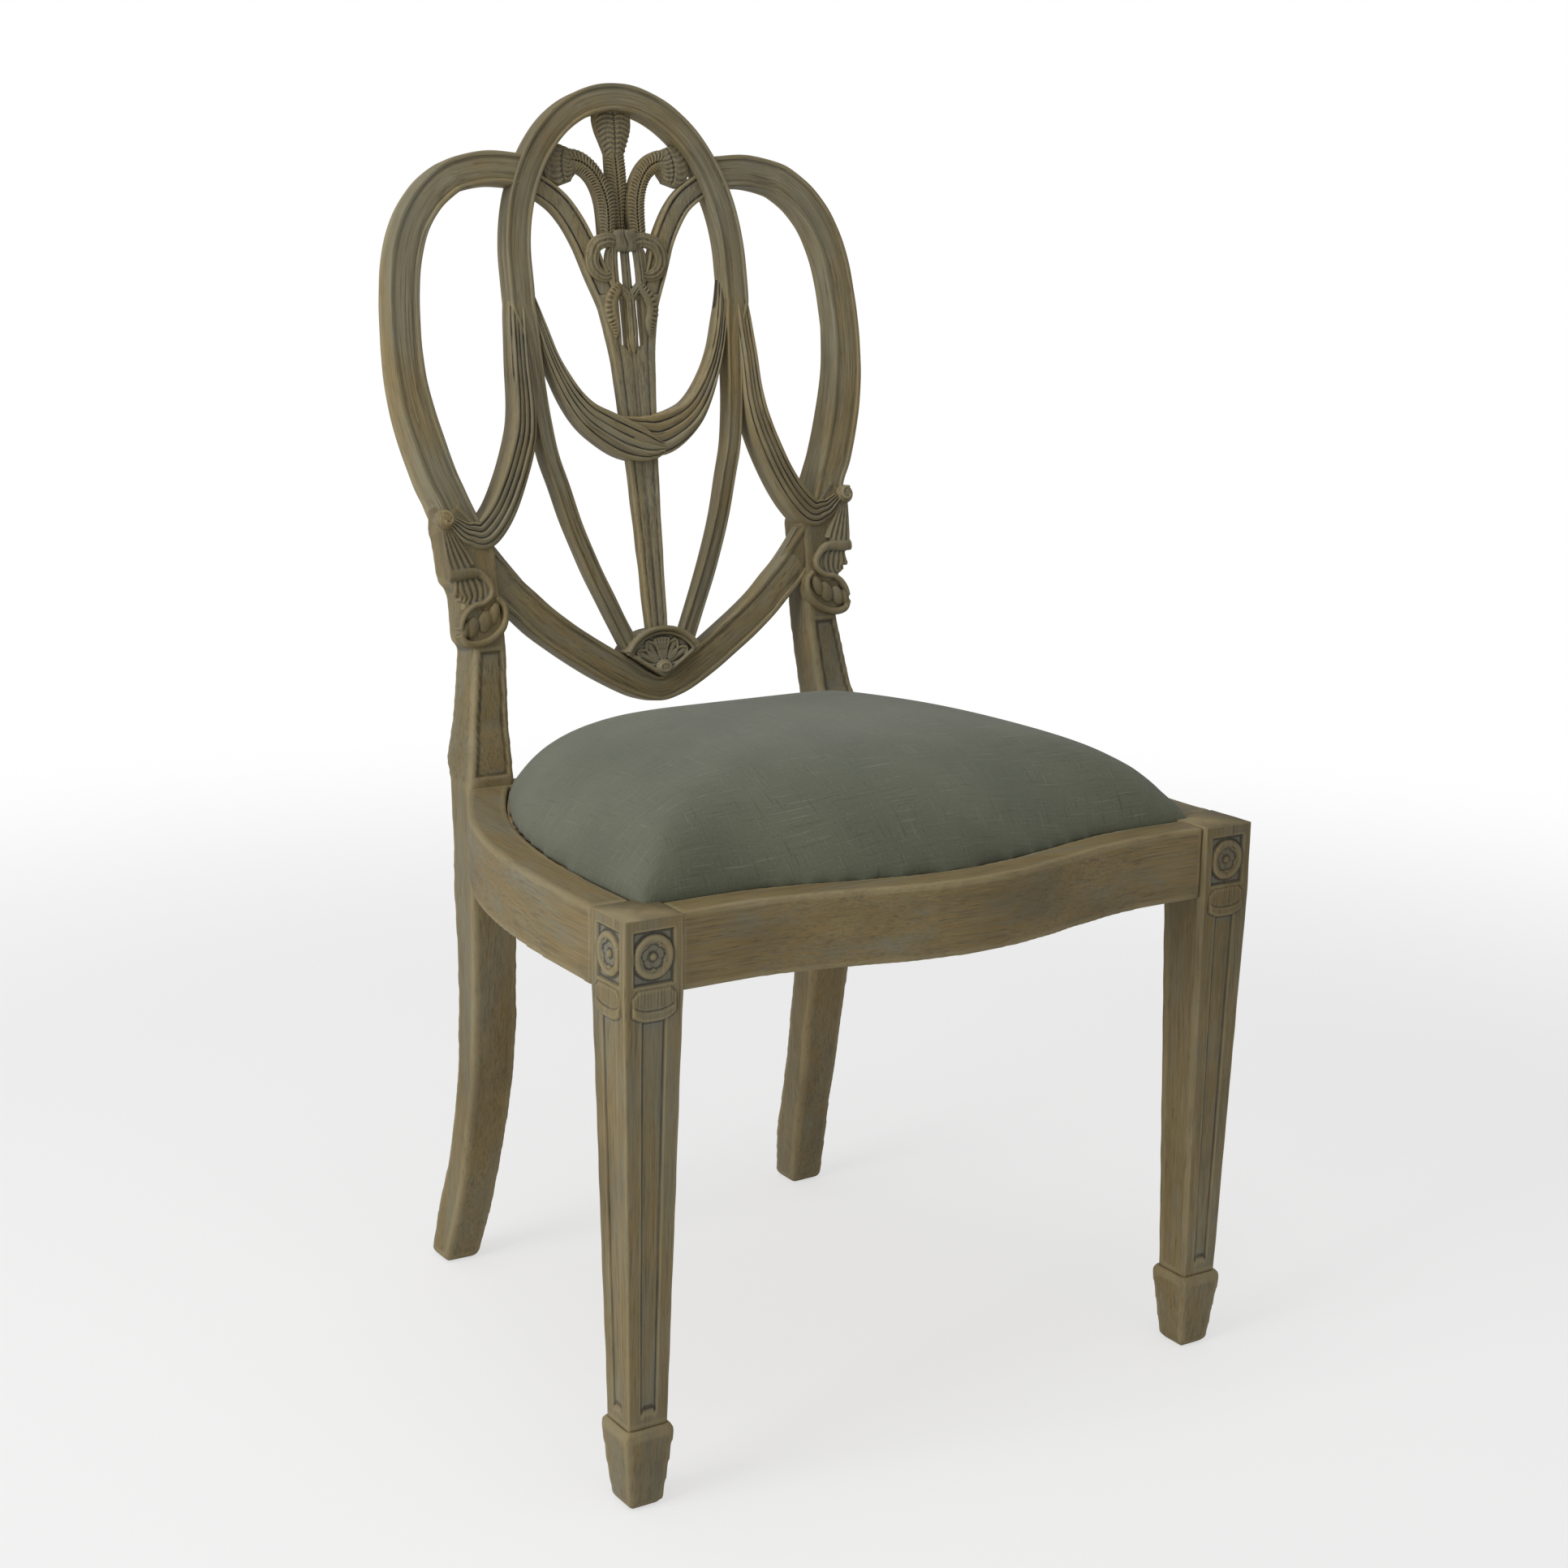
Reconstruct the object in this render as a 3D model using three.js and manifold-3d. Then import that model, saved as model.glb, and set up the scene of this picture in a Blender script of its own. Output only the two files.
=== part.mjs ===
// A side chair with an interlaced shield back: an oval hoop crosses two heart-shaped lobes, hung with carved
// drapery over a pierced splat, above a serpentine seat frame with a drop-in cushion.
// Millimetres, +Z up, the front towards -Y. Pieces are drawn from the front face of the front legs (Y = 0),
// and the whole chair is centred over its footprint at the end.
import * as THREE from 'three';
import { mergeVertices } from 'three/addons/utils/BufferGeometryUtils.js';
import Module from 'manifold-3d';

const wasm = await Module();
wasm.setup();

// The chair as a whole
const seatHeight = 446; // floor to the top of the seat rails
const frontWidth = 568; // across the outer faces of the front legs
const seatDepth = 406; // front face of the front legs to front face of the rear legs
const rearWidth = 404; // across the outer faces of the rear legs at the seat
const railHeight = 57;
const shieldWidth = 455; // across the widest part of the two lobes
const shieldHeight = 526.5; // foot of the shield to the top of the hoop, up the slope
const shieldLift = 51.5; // seat line to the foot of the shield, up the slope
const backSetBack = 11.4; // how far the slope of the back starts behind the face of the rear legs
const rakeAngle = THREE.MathUtils.degToRad(10.3);

// How pieces meet
const fitGap = 0.3; // clearance between faces that are glued or that rest on each other
const overrun = 6; // how far a cutter runs past the face it opens
const weld = 1e-4; // points closer than this are one point

// Front legs and spade feet
const legSquare = 47;
const ankleSquare = 32;
const ankleHeight = 66; // top of the spade foot
const coreToeSquare = 17; // the leg inside the foot, at the floor
const footSquare = 40;
const toeSquare = 28;
const footShoulder = 4; // height of the sloped ledge on top of the foot
const footCollar = 1; // how far the foot's ledge stands off the ankle
const heelRound = 3;

// Carving on the front legs
const sinkDepth = 2.6;
const rosettePanelWidth = 34;
const rosettePanelHeight = 36;
const rosettePanelDrop = 11; // top of the leg to the top of the panel
const rosetteRadius = 13;
const rosetteHeight = 2.3;
const tabletWidth = 37;
const tabletHeight = 20;
const tabletGap = 3; // panel to tablet
const tabletProud = 2.2;
const longPanelMargin = 8;
const longPanelTopGap = 6; // tablet to the long panel
const longPanelFootGap = 13; // long panel to the spade foot
const panelBevel = 2;

// Seat rails
const frontBow = 31; // how far the serpentine front swells past its flanks
const frontBowReach = 190; // half the width of the swell
const frontRailInset = 4; // the rail's ends stand behind the face of the legs
const frontRailBack = 46; // inner face of the front rail, from the face of the legs
const sideRailThickness = 42;
const rearRailFront = 14; // the rear rail stands this far in front of the rear legs' faces
const rearRailThickness = 32;
const rebateDepth = 15;
const frontMargin = 30; // show of the front rail before the cushion
const sideMargin = 32;
const seatBackGap = 6; // cushion to the rear legs
const seatClearance = 1;

// Tenons of the seat frame
const tenonThickness = 10;
const tenonShoulder = 7; // from the rail's top and bottom edges
const tenonLength = 18;
const rearTenonLength = 14;
const rearTenonInset = 8; // face of the rear leg to the middle of the rear rail's tenon
const frontTenonInset = 18; // face of the front leg to the middle of the front rail's tenon
const sideTenonInset = 21; // outer face of a leg to the middle of the side rail's tenon
const sideTenonSplay = 5; // the tenon at the rear leg stands this much further out

// Rear legs
const rearLegWidth = 42; // at the seat
const rearLegDepth = 40;
const heelKick = 70; // how far the floor end sweeps back
const shieldDepth = 24; // thickness of the lobes
const drapeDepth = 36; // thickness of the rear legs at the drapery carved on them

// The back
const lobeWidth = 26;
const hoopWidth = 23;
const hoopDepth = 20;
const hoopSetBack = 2.5;
const lobeTuck = 4; // the lobe eases back by this where it meets the hoop
const footRailWidth = 29;
const footRailDepth = 20;
const footRailDip = 11; // the foot of the shield is dished back by this
const ribWidth = 14;
const ribDrop = 6.5; // the ribs sink back by this at their lower end
const beadRelief = 2.4; // depth of the hollow between the beads of a moulding
const reedRelief = 1.6;
const splatDepth = 10;
const splatSetBack = 9;
const splatBandWidth = 21;
const slotWidth = 5;
const hoopTenonWidth = 9;
const hoopTenonDepth = 8;
const hoopTenonLength = 12;
const legTenonLength = 16;

// Carved drapery, feathers, bow and patera
const swagWidth = 40; // the middle swag, where it hangs lowest
const swagDepth = 15;
const swagSetBack = 0.5;
const swagRecede = 3; // its ends lie this much deeper than its middle
const outerSwagWidth = 25;
const outerSwagProud = 4; // its gathered end crosses the leg this far in front of it
const foldRelief = 2.6;
const knotRadius = 8;
const knotPlugRadius = 3;
const knotPlugLength = 12;
const dropProud = 3;
const dropWidth = 29;
const plumeWidth = 36; // head of the middle feather
const sidePlumeWidth = 25;
const plumeSetBack = 5;
const plumeDepth = 15;
const plumeRelief = 4;
const bowSetBack = 3;
const bowDepth = 9;
const bowLoopRadius = 8.5;
const bowLoopTube = 3;
const bowStripWidth = 8;
const bowStripSetBack = 1; // strips and tails lie this far behind the binding
const bindingHalfWidth = 25;
const bowTailWidth = 7;
const pateraHalfWidth = 46;
const pateraRise = 37; // height of its arch above its boss
const pateraDrop = 14; // its ground runs down to the foot of the shield by this
const pateraSetBack = 6;
const pateraSink = 3;
const pateraBorder = 6;
const petalLength = 17;
const petalWidth = 4.5;
const petalDepth = 3.5;
const pateraBossRadius = 6;

// Seat, blocks and screws
const boardThickness = 10;
const cushionCrown = 76; // top of the cushion above the rails
const blockReach = 52; // along each rail from the corner
const blockHeight = 34;
const screwRadius = 2;
const screwHeadRadius = 4;
const screwHead = 2.4;
const blockScrewLength = 40;
const screwBite = 16; // depth of a screw in the rail
const boardBite = 7; // depth of a seat screw in the board
const seatScrewInset = 15; // seat screw from both faces of its corner

// Values worked out from the sizes above
const frontHalf = frontWidth / 2;
const rearHalf = rearWidth / 2;
const shieldHalf = shieldWidth / 2;
const railBottom = seatHeight - railHeight;
const wellFloor = seatHeight - rebateDepth;
const legCentre = frontHalf - legSquare / 2;
const innerLegFace = frontHalf - legSquare;

// A point in the plane of the back, given as shares of half the shield's width and of its height.
const backX = (share) => share * shieldHalf;
const backV = (share) => shieldLift + share * shieldHeight;

// A solid from any closed geometry, with its faces turned outwards.
function solidOf(geometry) {
  const bare = new THREE.BufferGeometry();
  bare.setAttribute('position', geometry.getAttribute('position').clone());
  if (geometry.index) bare.setIndex(geometry.index.clone());
  const merged = mergeVertices(bare, weld);
  const positions = Float32Array.from(merged.getAttribute('position').array);
  const kept = [];
  let volume = 0;
  const corners = [new THREE.Vector3(), new THREE.Vector3(), new THREE.Vector3()];
  for (let i = 0; i < merged.index.count; i += 3) {
    const [a, b, c] = [0, 1, 2].map((step) => merged.index.getX(i + step));
    if (a === b || b === c || c === a) continue;
    kept.push(a, b, c);
    [a, b, c].forEach((vertex, k) => corners[k].fromArray(positions, 3 * vertex));
    volume += corners[0].dot(corners[1].clone().cross(corners[2]));
  }
  if (volume < 0) kept.reverse();
  const triVerts = Uint32Array.from(kept);
  return new wasm.Manifold(new wasm.Mesh({ numProp: 3, vertProperties: positions, triVerts }));
}

// The surface of a solid as a geometry, and its mirror image across the chair's middle plane.
function geometryOf(solid) {
  const mesh = solid.getMesh();
  const geometry = new THREE.BufferGeometry();
  const positions = Float32Array.from(mesh.vertProperties);
  geometry.setAttribute('position', new THREE.BufferAttribute(positions, 3));
  geometry.setIndex(new THREE.BufferAttribute(Uint32Array.from(mesh.triVerts), 1));
  geometry.computeVertexNormals();
  return geometry;
}

function mirrored(geometry) {
  const copy = geometry.clone();
  const position = copy.getAttribute('position');
  for (let i = 0; i < position.count; i += 1) position.setX(i, -position.getX(i));
  copy.setIndex(Array.from(copy.index.array).reverse());
  copy.computeVertexNormals();
  return copy;
}

// A closed skin over rings of points, with a flat cap on the first and the last ring.
function loft(rings) {
  const count = rings[0].length;
  const positions = rings.flat().flatMap((point) => [point.x, point.y, point.z]);
  const index = [];
  for (let ring = 0; ring + 1 < rings.length; ring += 1) {
    for (let i = 0; i < count; i += 1) {
      const a = ring * count + i;
      const b = ring * count + ((i + 1) % count);
      index.push(a, b, a + count, b, b + count, a + count);
    }
  }
  capTriangles(rings[0]).forEach(([a, b, c]) => index.push(a, c, b));
  const last = (rings.length - 1) * count;
  capTriangles(rings[rings.length - 1]).forEach(([a, b, c]) => index.push(last + a, last + b, last + c));
  const geometry = new THREE.BufferGeometry();
  geometry.setAttribute('position', new THREE.Float32BufferAttribute(positions, 3));
  geometry.setIndex(index);
  return solidOf(geometry);
}

// Triangles over a flat ring, turned the same way as the ring itself.
function capTriangles(ring) {
  const normal = new THREE.Vector3();
  ring.forEach((point, i) => normal.add(point.clone().cross(ring[(i + 1) % ring.length])));
  normal.normalize();
  const first = ring.find((point) => point.distanceTo(ring[0]) > weld);
  const along = first.clone().sub(ring[0]).projectOnPlane(normal).normalize();
  const across = normal.clone().cross(along);
  const flat = ring.map((point) => new THREE.Vector2(point.dot(along), point.dot(across)));
  return THREE.ShapeUtils.triangulateShape(flat, []).map(([a, b, c]) => {
    const turn = flat[b].clone().sub(flat[a]).cross(flat[c].clone().sub(flat[a]));
    return turn < 0 ? [a, c, b] : [a, b, c];
  });
}

// An outline drawn in plan, from the side, or from the front, and pushed through its thickness.
const planBasis = new THREE.Matrix4();
const sideBasis = new THREE.Matrix4().makeBasis(
  new THREE.Vector3(0, 1, 0), new THREE.Vector3(0, 0, 1), new THREE.Vector3(1, 0, 0),
);
const frontBasis = new THREE.Matrix4().makeBasis(
  new THREE.Vector3(1, 0, 0), new THREE.Vector3(0, 0, 1), new THREE.Vector3(0, -1, 0),
);
function slab(points, basis, from, thickness) {
  const shape = new THREE.Shape(points.map(([a, b]) => new THREE.Vector2(a, b)));
  const geometry = new THREE.ExtrudeGeometry(shape, { depth: thickness, bevelEnabled: false });
  geometry.translate(0, 0, from);
  return solidOf(geometry.applyMatrix4(basis));
}
const planSlab = (points, bottom, height) => slab(points, planBasis, bottom, height);
const sideSlab = (points, left, width) => slab(points, sideBasis, left, width);
const frontSlab = (points, front, thickness) => slab(points, frontBasis, -front - thickness, thickness);

function box(low, high) {
  const size = high.map((value, axis) => value - low[axis]);
  const geometry = new THREE.BoxGeometry(...size);
  return solidOf(geometry.translate(...low.map((value, axis) => value + size[axis] / 2)));
}

function ball(centre, radii, turn = 0, aroundCount = 8, upCount = 4) {
  const geometry = new THREE.SphereGeometry(1, aroundCount, upCount).scale(...radii);
  return solidOf(geometry.rotateY(turn).translate(...centre));
}

const moved = (solid, matrix) => solidOf(geometryOf(solid).applyMatrix4(matrix));
const joined = (solids) => solids.reduce((sum, solid) => sum.add(solid));
const cutBy = (solid, cutters) => cutters.reduce((rest, cutter) => rest.subtract(cutter), solid);
const flipped = (solid) => solidOf(mirrored(geometryOf(solid)));

// A smooth line through chosen points. The third value of a point is carried along with it.
function smooth(points, count, closedEnds = 'centripetal') {
  const knots = points.map(([a, b, c = 0]) => new THREE.Vector3(a, b, c));
  const curve = new THREE.CatmullRomCurve3(knots, false, closedEnds);
  return curve.getPoints(count).map((point) => [point.x, point.y, point.z]);
}

// A moulding along a line in the plane of the back. A station is its place, width, face and back;
// the section is a list of places across the width and depths behind the face.
function moulding(stations, section, grow = 0) {
  const rings = stations.map((station, i) => {
    const before = stations[Math.max(i - 1, 0)];
    const after = stations[Math.min(i + 1, stations.length - 1)];
    const along = new THREE.Vector2(after.x - before.x, after.v - before.v).normalize();
    const half = station.width / 2 + grow;
    const place = (share, depth) => new THREE.Vector3(
      station.x + 2 * share * half * along.y, depth, station.v - 2 * share * half * along.x,
    );
    const face = section.map(([share, relief]) => place(share, station.face + relief - grow));
    const back = station.back + grow;
    return [...face, place(section[section.length - 1][0], back), place(section[0][0], back)];
  });
  return loft(rings);
}

// Sections: two beads with a hollow between them, parallel reeds, and a plain board for clearances.
const beadShares = [[-0.5, 0.5], [-0.42, 0], [-0.3, 1], [0, 0.55]];
const beadSection = [...beadShares, ...beadShares.slice(0, -1).reverse().map(([a, b]) => [-a, b])]
  .map(([share, depth]) => [share, depth * beadRelief]);
const plainSection = [[-0.5, 0], [0.5, 0]];
const reedSection = (count, relief) => Array.from({ length: 2 * count + 1 }, (_, i) => [
  i / (2 * count) - 1 / 2, i % 2 ? 0 : relief,
]);

// The chair is a group of pieces, and the back is a group inside it that leans by the rake.
const chair = new THREE.Group();
const back = new THREE.Group();
back.position.set(0, seatDepth + backSetBack, seatHeight);
back.rotation.x = -rakeAngle;
back.updateMatrix();
chair.add(back);
const toBack = back.matrix.clone().invert();

function finish(color, roughness, metalness = 0) {
  return () => new THREE.MeshStandardMaterial({ color, roughness, metalness });
}
const wood = finish(0x8c7f62, 0.62);
const carvedWood = finish(0x847a60, 0.66);
const innerWood = finish(0xb59a6c, 0.8);
const linen = finish(0x6b7060, 0.95);
const zinc = finish(0xb9b7ae, 0.35, 0.9);

function add(group, name, solid, material) {
  const mesh = new THREE.Mesh(geometryOf(solid), material());
  mesh.name = name;
  group.add(mesh);
}
function addPair(group, name, solid, material) {
  add(group, `${name}_right`, solid, material);
  const left = new THREE.Mesh(mirrored(geometryOf(solid)), material());
  left.name = `${name}_left`;
  group.add(left);
}

// Plan of the seat frame. The front is a raised cosine between flat flanks.
function frontEdge(x) {
  const reach = Math.min(Math.abs(x) / frontBowReach, 1);
  return frontRailInset - frontBow * (1 + Math.cos(Math.PI * reach)) / 2;
}
const frontSteps = 24;
function frontLine(halfWidth, offset) {
  return Array.from({ length: frontSteps + 1 }, (_, i) => {
    const x = halfWidth * (2 * i / frontSteps - 1);
    return [x, frontEdge(x) + offset];
  });
}

// The side rail's outer edge, from the front leg round to the rear leg, moved in by a given distance.
const sideHandleShares = [[1, 0.55], [0.926, 0.738]];
const sideCurve = new THREE.CubicBezierCurve(
  new THREE.Vector2(frontHalf, legSquare),
  new THREE.Vector2(frontHalf * sideHandleShares[0][0], seatDepth * sideHandleShares[0][1]),
  new THREE.Vector2(frontHalf * sideHandleShares[1][0], seatDepth * sideHandleShares[1][1]),
  new THREE.Vector2(rearHalf, seatDepth),
);
const sideSteps = 14;
function sideLine(inset) {
  const inner = Array.from({ length: sideSteps + 1 }, (_, i) => {
    const point = sideCurve.getPoint(i / sideSteps);
    const along = sideCurve.getTangent(i / sideSteps);
    return [point.x - along.y * inset, point.y + along.x * inset];
  });
  const extended = (from, next) => next.map((value, axis) => value + (value - from[axis]));
  return [extended(inner[1], inner[0]), ...inner, extended(inner[sideSteps - 1], inner[sideSteps])];
}

// The drop-in seat's outline, grown or shrunk evenly: the shown margins of the rails lie outside it.
const seatBack = seatDepth - seatBackGap;
function seatPlan(grow) {
  const side = sideLine(sideMargin - grow);
  const backEdge = seatBack + grow;
  const frontAt = (x) => frontEdge(x) + frontMargin - grow;
  const right = side.filter(([x, y]) => y > frontAt(x) + fitGap && y < backEdge - fitGap);
  const cornerX = side[0][0];
  const crossing = side.findIndex(([, y]) => y >= backEdge);
  const [a, b] = [side[crossing - 1], side[crossing]];
  const reach = (backEdge - a[1]) / (b[1] - a[1]);
  const rearX = a[0] + (b[0] - a[0]) * reach;
  const front = frontLine(cornerX, frontMargin - grow);
  const leftSide = right.map(([x, y]) => [-x, y]).reverse();
  return [...front, ...right, [rearX, backEdge], [-rearX, backEdge], ...leftSide];
}
const seatWell = planSlab(seatPlan(seatClearance), wellFloor, railHeight);

// Side rail in plan, grown for the clearance that its neighbours keep.
function sideRailBody(grow) {
  const outline = [...sideLine(-grow), ...sideLine(sideRailThickness + grow).reverse()];
  const solid = planSlab(outline, railBottom - grow, railHeight + 2 * grow);
  const [front, rear] = [legSquare + fitGap - grow, seatDepth - fitGap + grow];
  return solid.intersect(box([0, front, 0], [frontWidth, rear, 2 * seatHeight]));
}
const tenonBottom = railBottom + tenonShoulder;
const tenonTop = wellFloor - tenonShoulder / 2;
const sideTenonX = [frontHalf - sideTenonInset, rearHalf - sideTenonInset + sideTenonSplay];
function sideTenons(grow) {
  const half = tenonThickness / 2 + grow;
  return sideTenonX.map((x, end) => {
    const face = end === 0 ? legSquare : seatDepth;
    const way = end === 0 ? -1 : 1;
    const tip = face + way * (tenonLength + grow);
    const root = face - way * (fitGap + overrun);
    const low = [x - half, Math.min(tip, root), tenonBottom - grow];
    return box(low, [x + half, Math.max(tip, root), tenonTop + grow]);
  });
}

// Front rail, with a tenon into the inner face of each front leg.
function frontRailBody(grow) {
  const half = innerLegFace - fitGap + grow;
  const inner = frontRailBack + grow;
  const outline = [...frontLine(half, -grow), [half, inner], [-half, inner]];
  return planSlab(outline, railBottom - grow, railHeight + 2 * grow);
}
function frontTenon(grow) {
  const half = tenonThickness / 2 + grow;
  const low = [innerLegFace - fitGap - overrun, frontTenonInset - half, tenonBottom - grow];
  return box(low, [innerLegFace + tenonLength + grow, frontTenonInset + half, tenonTop + grow]);
}

// Front leg: a square block, a long taper, and a core inside the spade foot.
const squareRing = (x, y, z, side) => [[-1, -1], [1, -1], [1, 1], [-1, 1]]
  .map(([a, b]) => new THREE.Vector3(x + a * side / 2, y + b * side / 2, z));
const legY = legSquare / 2;
function frontLegBody(grow) {
  const levels = [
    [seatHeight, legSquare], [railBottom, legSquare], [ankleHeight, ankleSquare], [0, coreToeSquare],
  ];
  return loft(levels.map(([z, side]) => squareRing(legCentre, legY, z, side + 2 * grow)));
}
const tabletTop = seatHeight - rosettePanelDrop - rosettePanelHeight - tabletGap;
const longPanelTop = tabletTop - tabletHeight - longPanelTopGap;
const longPanelFoot = ankleHeight + longPanelFootGap;
function legSideAt(z) {
  const share = Math.min((z - ankleHeight) / (railBottom - ankleHeight), 1);
  return ankleSquare + (legSquare - ankleSquare) * share;
}

// Carving on one face, drawn round the leg's own axis with the face towards -Y.
function longPanelCut() {
  const ring = (inset, depth) => [[-1, longPanelFoot + inset], [1, longPanelFoot + inset],
    [1, longPanelTop - inset], [-1, longPanelTop - inset]].map(([side, z]) => {
    const half = legSideAt(z) / 2;
    return new THREE.Vector3(side * (half - longPanelMargin - inset), depth - half, z);
  });
  return loft([ring(-panelBevel, -sinkDepth), ring(0, 0), ring(panelBevel, sinkDepth)]);
}
function rosettePanelCut() {
  const top = seatHeight - rosettePanelDrop;
  const half = rosettePanelWidth / 2;
  const front = -legSquare / 2;
  return box([-half, front - overrun, top - rosettePanelHeight], [half, front + sinkDepth, top]);
}
const rosetteShares = [
  [0, 0], [1, 0], [1, 0.7], [0.9, 1], [0.74, 0.4], [0.52, 0.85], [0.34, 0.35], [0.24, 1], [0, 1],
];
function rosette() {
  const profile = rosetteShares.map(([r, h]) => new THREE.Vector2(r * rosetteRadius, h * rosetteHeight));
  const floor = -legSquare / 2 + sinkDepth + fitGap;
  const middle = seatHeight - rosettePanelDrop - rosettePanelHeight / 2;
  const turned = new THREE.LatheGeometry(profile, 12).rotateX(Math.PI);
  return solidOf(turned.translate(0, floor, middle));
}
const tabletFaceShare = 0.92;
function tablet() {
  const half = tabletWidth / 2;
  const shape = new THREE.Shape();
  shape.moveTo(-half, tabletTop);
  shape.lineTo(half, tabletTop);
  shape.lineTo(half, tabletTop - tabletHeight / 3);
  shape.quadraticCurveTo(half, tabletTop - tabletHeight, 0, tabletTop - tabletHeight);
  shape.quadraticCurveTo(-half, tabletTop - tabletHeight, -half, tabletTop - tabletHeight / 3);
  const outline = shape.getPoints(5).map(({ x, y }) => [x, y]);
  const ring = (share, depth) => outline.map(([x, z]) => (
    new THREE.Vector3(x * share, depth - legSquare / 2, tabletTop + (z - tabletTop) * share)));
  return loft([ring(1, overrun), ring(1, 0), ring(tabletFaceShare, -tabletProud)]);
}
function carvedFrontLeg() {
  const placed = (solid, turn) => moved(solid, new THREE.Matrix4().makeTranslation(legCentre, legY, 0)
    .multiply(new THREE.Matrix4().makeRotationZ(turn)));
  const turns = [0, Math.PI / 2];
  const cuts = turns.flatMap((turn) => [placed(longPanelCut(), turn), placed(rosettePanelCut(), turn)]);
  const raised = turns.flatMap((turn) => [placed(rosette(), turn), placed(tablet(), turn)]);
  const leg = joined([cutBy(frontLegBody(0), cuts), ...raised]);
  return cutBy(leg, [seatWell, frontTenon(fitGap), sideTenons(fitGap)[0]]);
}

// Spade foot: facings mitred round the ankle, with a sloped ledge on top and a narrow toe.
function spadeFoot() {
  const ledge = ankleHeight - footShoulder;
  const levels = [
    [0, toeSquare - heelRound], [heelRound, toeSquare], [ledge - heelRound, footSquare],
    [ledge, footSquare - footCollar], [ankleHeight, ankleSquare + 2 * footCollar],
  ];
  const outer = loft(levels.map(([z, side]) => squareRing(legCentre, legY, z, side)));
  return outer.subtract(frontLegBody(fitGap)).subtract(frontLegCore());
}
function frontLegCore() {
  const levels = [[-overrun, coreToeSquare + 2 * fitGap], [ankleHeight / 2, coreToeSquare + 2 * fitGap]];
  return loft(levels.map(([z, side]) => squareRing(legCentre, legY, z, side)));
}

// Rear leg: sawn from the side and from the front, then left square.
const kickShares = [[0, 1], [0.25, 0.617], [0.49, 0.347], [0.72, 0.19], [0.9, 0.08], [1, 0]];
const legDepthShares = [[0, 0.79], [0.03, 0.9], [0.13, 0.9], [0.39, 0.78], [0.7, 0.83], [0.92, 1], [1, 1]];
const neckV = backV(0.105); // the narrowest place, just under the ribbon drop
const jointV = backV(0.351); // top of the leg, where the lobe is joined on
const sinRake = Math.sin(rakeAngle);
const cosRake = Math.cos(rakeAngle);
const inChair = (v, depth) => [
  seatDepth + backSetBack + v * sinRake + depth * cosRake, seatHeight + v * cosRake - depth * sinRake,
];
const shareAt = (table, at) => {
  const next = Math.max(table.findIndex(([key]) => key >= at), 1);
  const [[k0, a], [k1, b]] = [table[next - 1], table[next]];
  return a + (b - a) * (at - k0) / (k1 - k0);
};
const rearSteps = 10;
const upperBackShares = [[0.2, 1.12], [0.6, 1.06], [1, 1.03], [1.5, 1]]; // place up to the neck, thickness
const bendShares = [[0, 0], [0.8, 2]]; // the face of the leg turns from plumb to the slope of the back
const blendShare = 0.45; // how far up to the neck the turn is finished
function rearLegSide() {
  const lower = smooth(kickShares, rearSteps)
    .map(([share, kick]) => [seatDepth + kick * heelKick, share * railBottom, share]);
  const depthAt = (share) => rearLegDepth * shareAt(legDepthShares, share);
  const front = lower.map(([y, z]) => [y, z]);
  const lowerBack = lower.map(([y, z, share]) => [y + depthAt(share), z]).reverse();
  const bend = bendShares.map(([y, z]) => [seatDepth + y * backSetBack, seatHeight + z * backSetBack]);
  const upperFront = [...bend, inChair(neckV * blendShare, 0), inChair(jointV, 0)];
  const upperBack = upperBackShares
    .map(([share, depth]) => inChair(neckV * share, depth * drapeDepth)).reverse();
  return [...front, ...upperFront, inChair(jointV, drapeDepth), ...upperBack,
    [seatDepth + rearLegDepth, seatHeight], ...lowerBack];
}
const outerLegShares = [[0, 0.984], [0.19, 0.951], [0.4, 0.946], [0.67, 0.965], [0.83, 0.985], [1, 1]];
const innerLegWidthShares = [[0, 0.79], [0.12, 0.86], [0.36, 0.95], [0.52, 1], [0.83, 1.01], [1, 1]];
// Outline above the seat, as shares of half the shield's width and of its height: outer edge, inner edge.
const neckOuterShares = [[0.793, 0.105], [0.79, 0.118], [0.818, 0.13], [0.82, 0.2], [0.828, 0.212],
  [0.85, 0.222], [0.862, 0.292], [0.87, 0.299], [0.893, 0.307], [0.902, 0.3176], [0.893, 0.328],
  [0.882, 0.335], [0.887, 0.351]];
const neckInnerShares = [[0.758, 0.351], [0.73, 0.33], [0.695, 0.305], [0.668, 0.28], [0.668, 0.17],
  [0.66, 0.14], [0.661, 0.105]];
const seatBlend = 0.42; // share of the seat's width that is left half way up to the neck
function rearLegFront() {
  const outer = outerLegShares.map(([z, x]) => [x * rearHalf, z * seatHeight]);
  const inner = innerLegWidthShares
    .map(([z, width]) => [rearHalf * shareAt(outerLegShares, z) - width * rearLegWidth, z * seatHeight]);
  const neck = [backX(neckOuterShares[0][0]), backX(neckInnerShares[6][0])];
  const blend = [rearHalf, rearHalf - rearLegWidth].map((x, i) => neck[i] + (x - neck[i]) * seatBlend);
  const middle = seatHeight + neckV * cosRake * blendShare;
  const top = seatHeight + neckV * cosRake;
  const above = [[blend[0], middle], [neck[0], top], [neck[1], top], [blend[1], middle]];
  return [...outer, ...above, ...inner.reverse()];
}
function rearLegOutline() {
  const foot = backV(neckInnerShares[neckInnerShares.length - 1][1]) - overrun;
  const edge = [...neckOuterShares, ...neckInnerShares].map(([x, v]) => [backX(x), backV(v)]);
  return [[edge[0][0], foot], ...edge, [edge[edge.length - 1][0], foot]];
}
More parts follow.
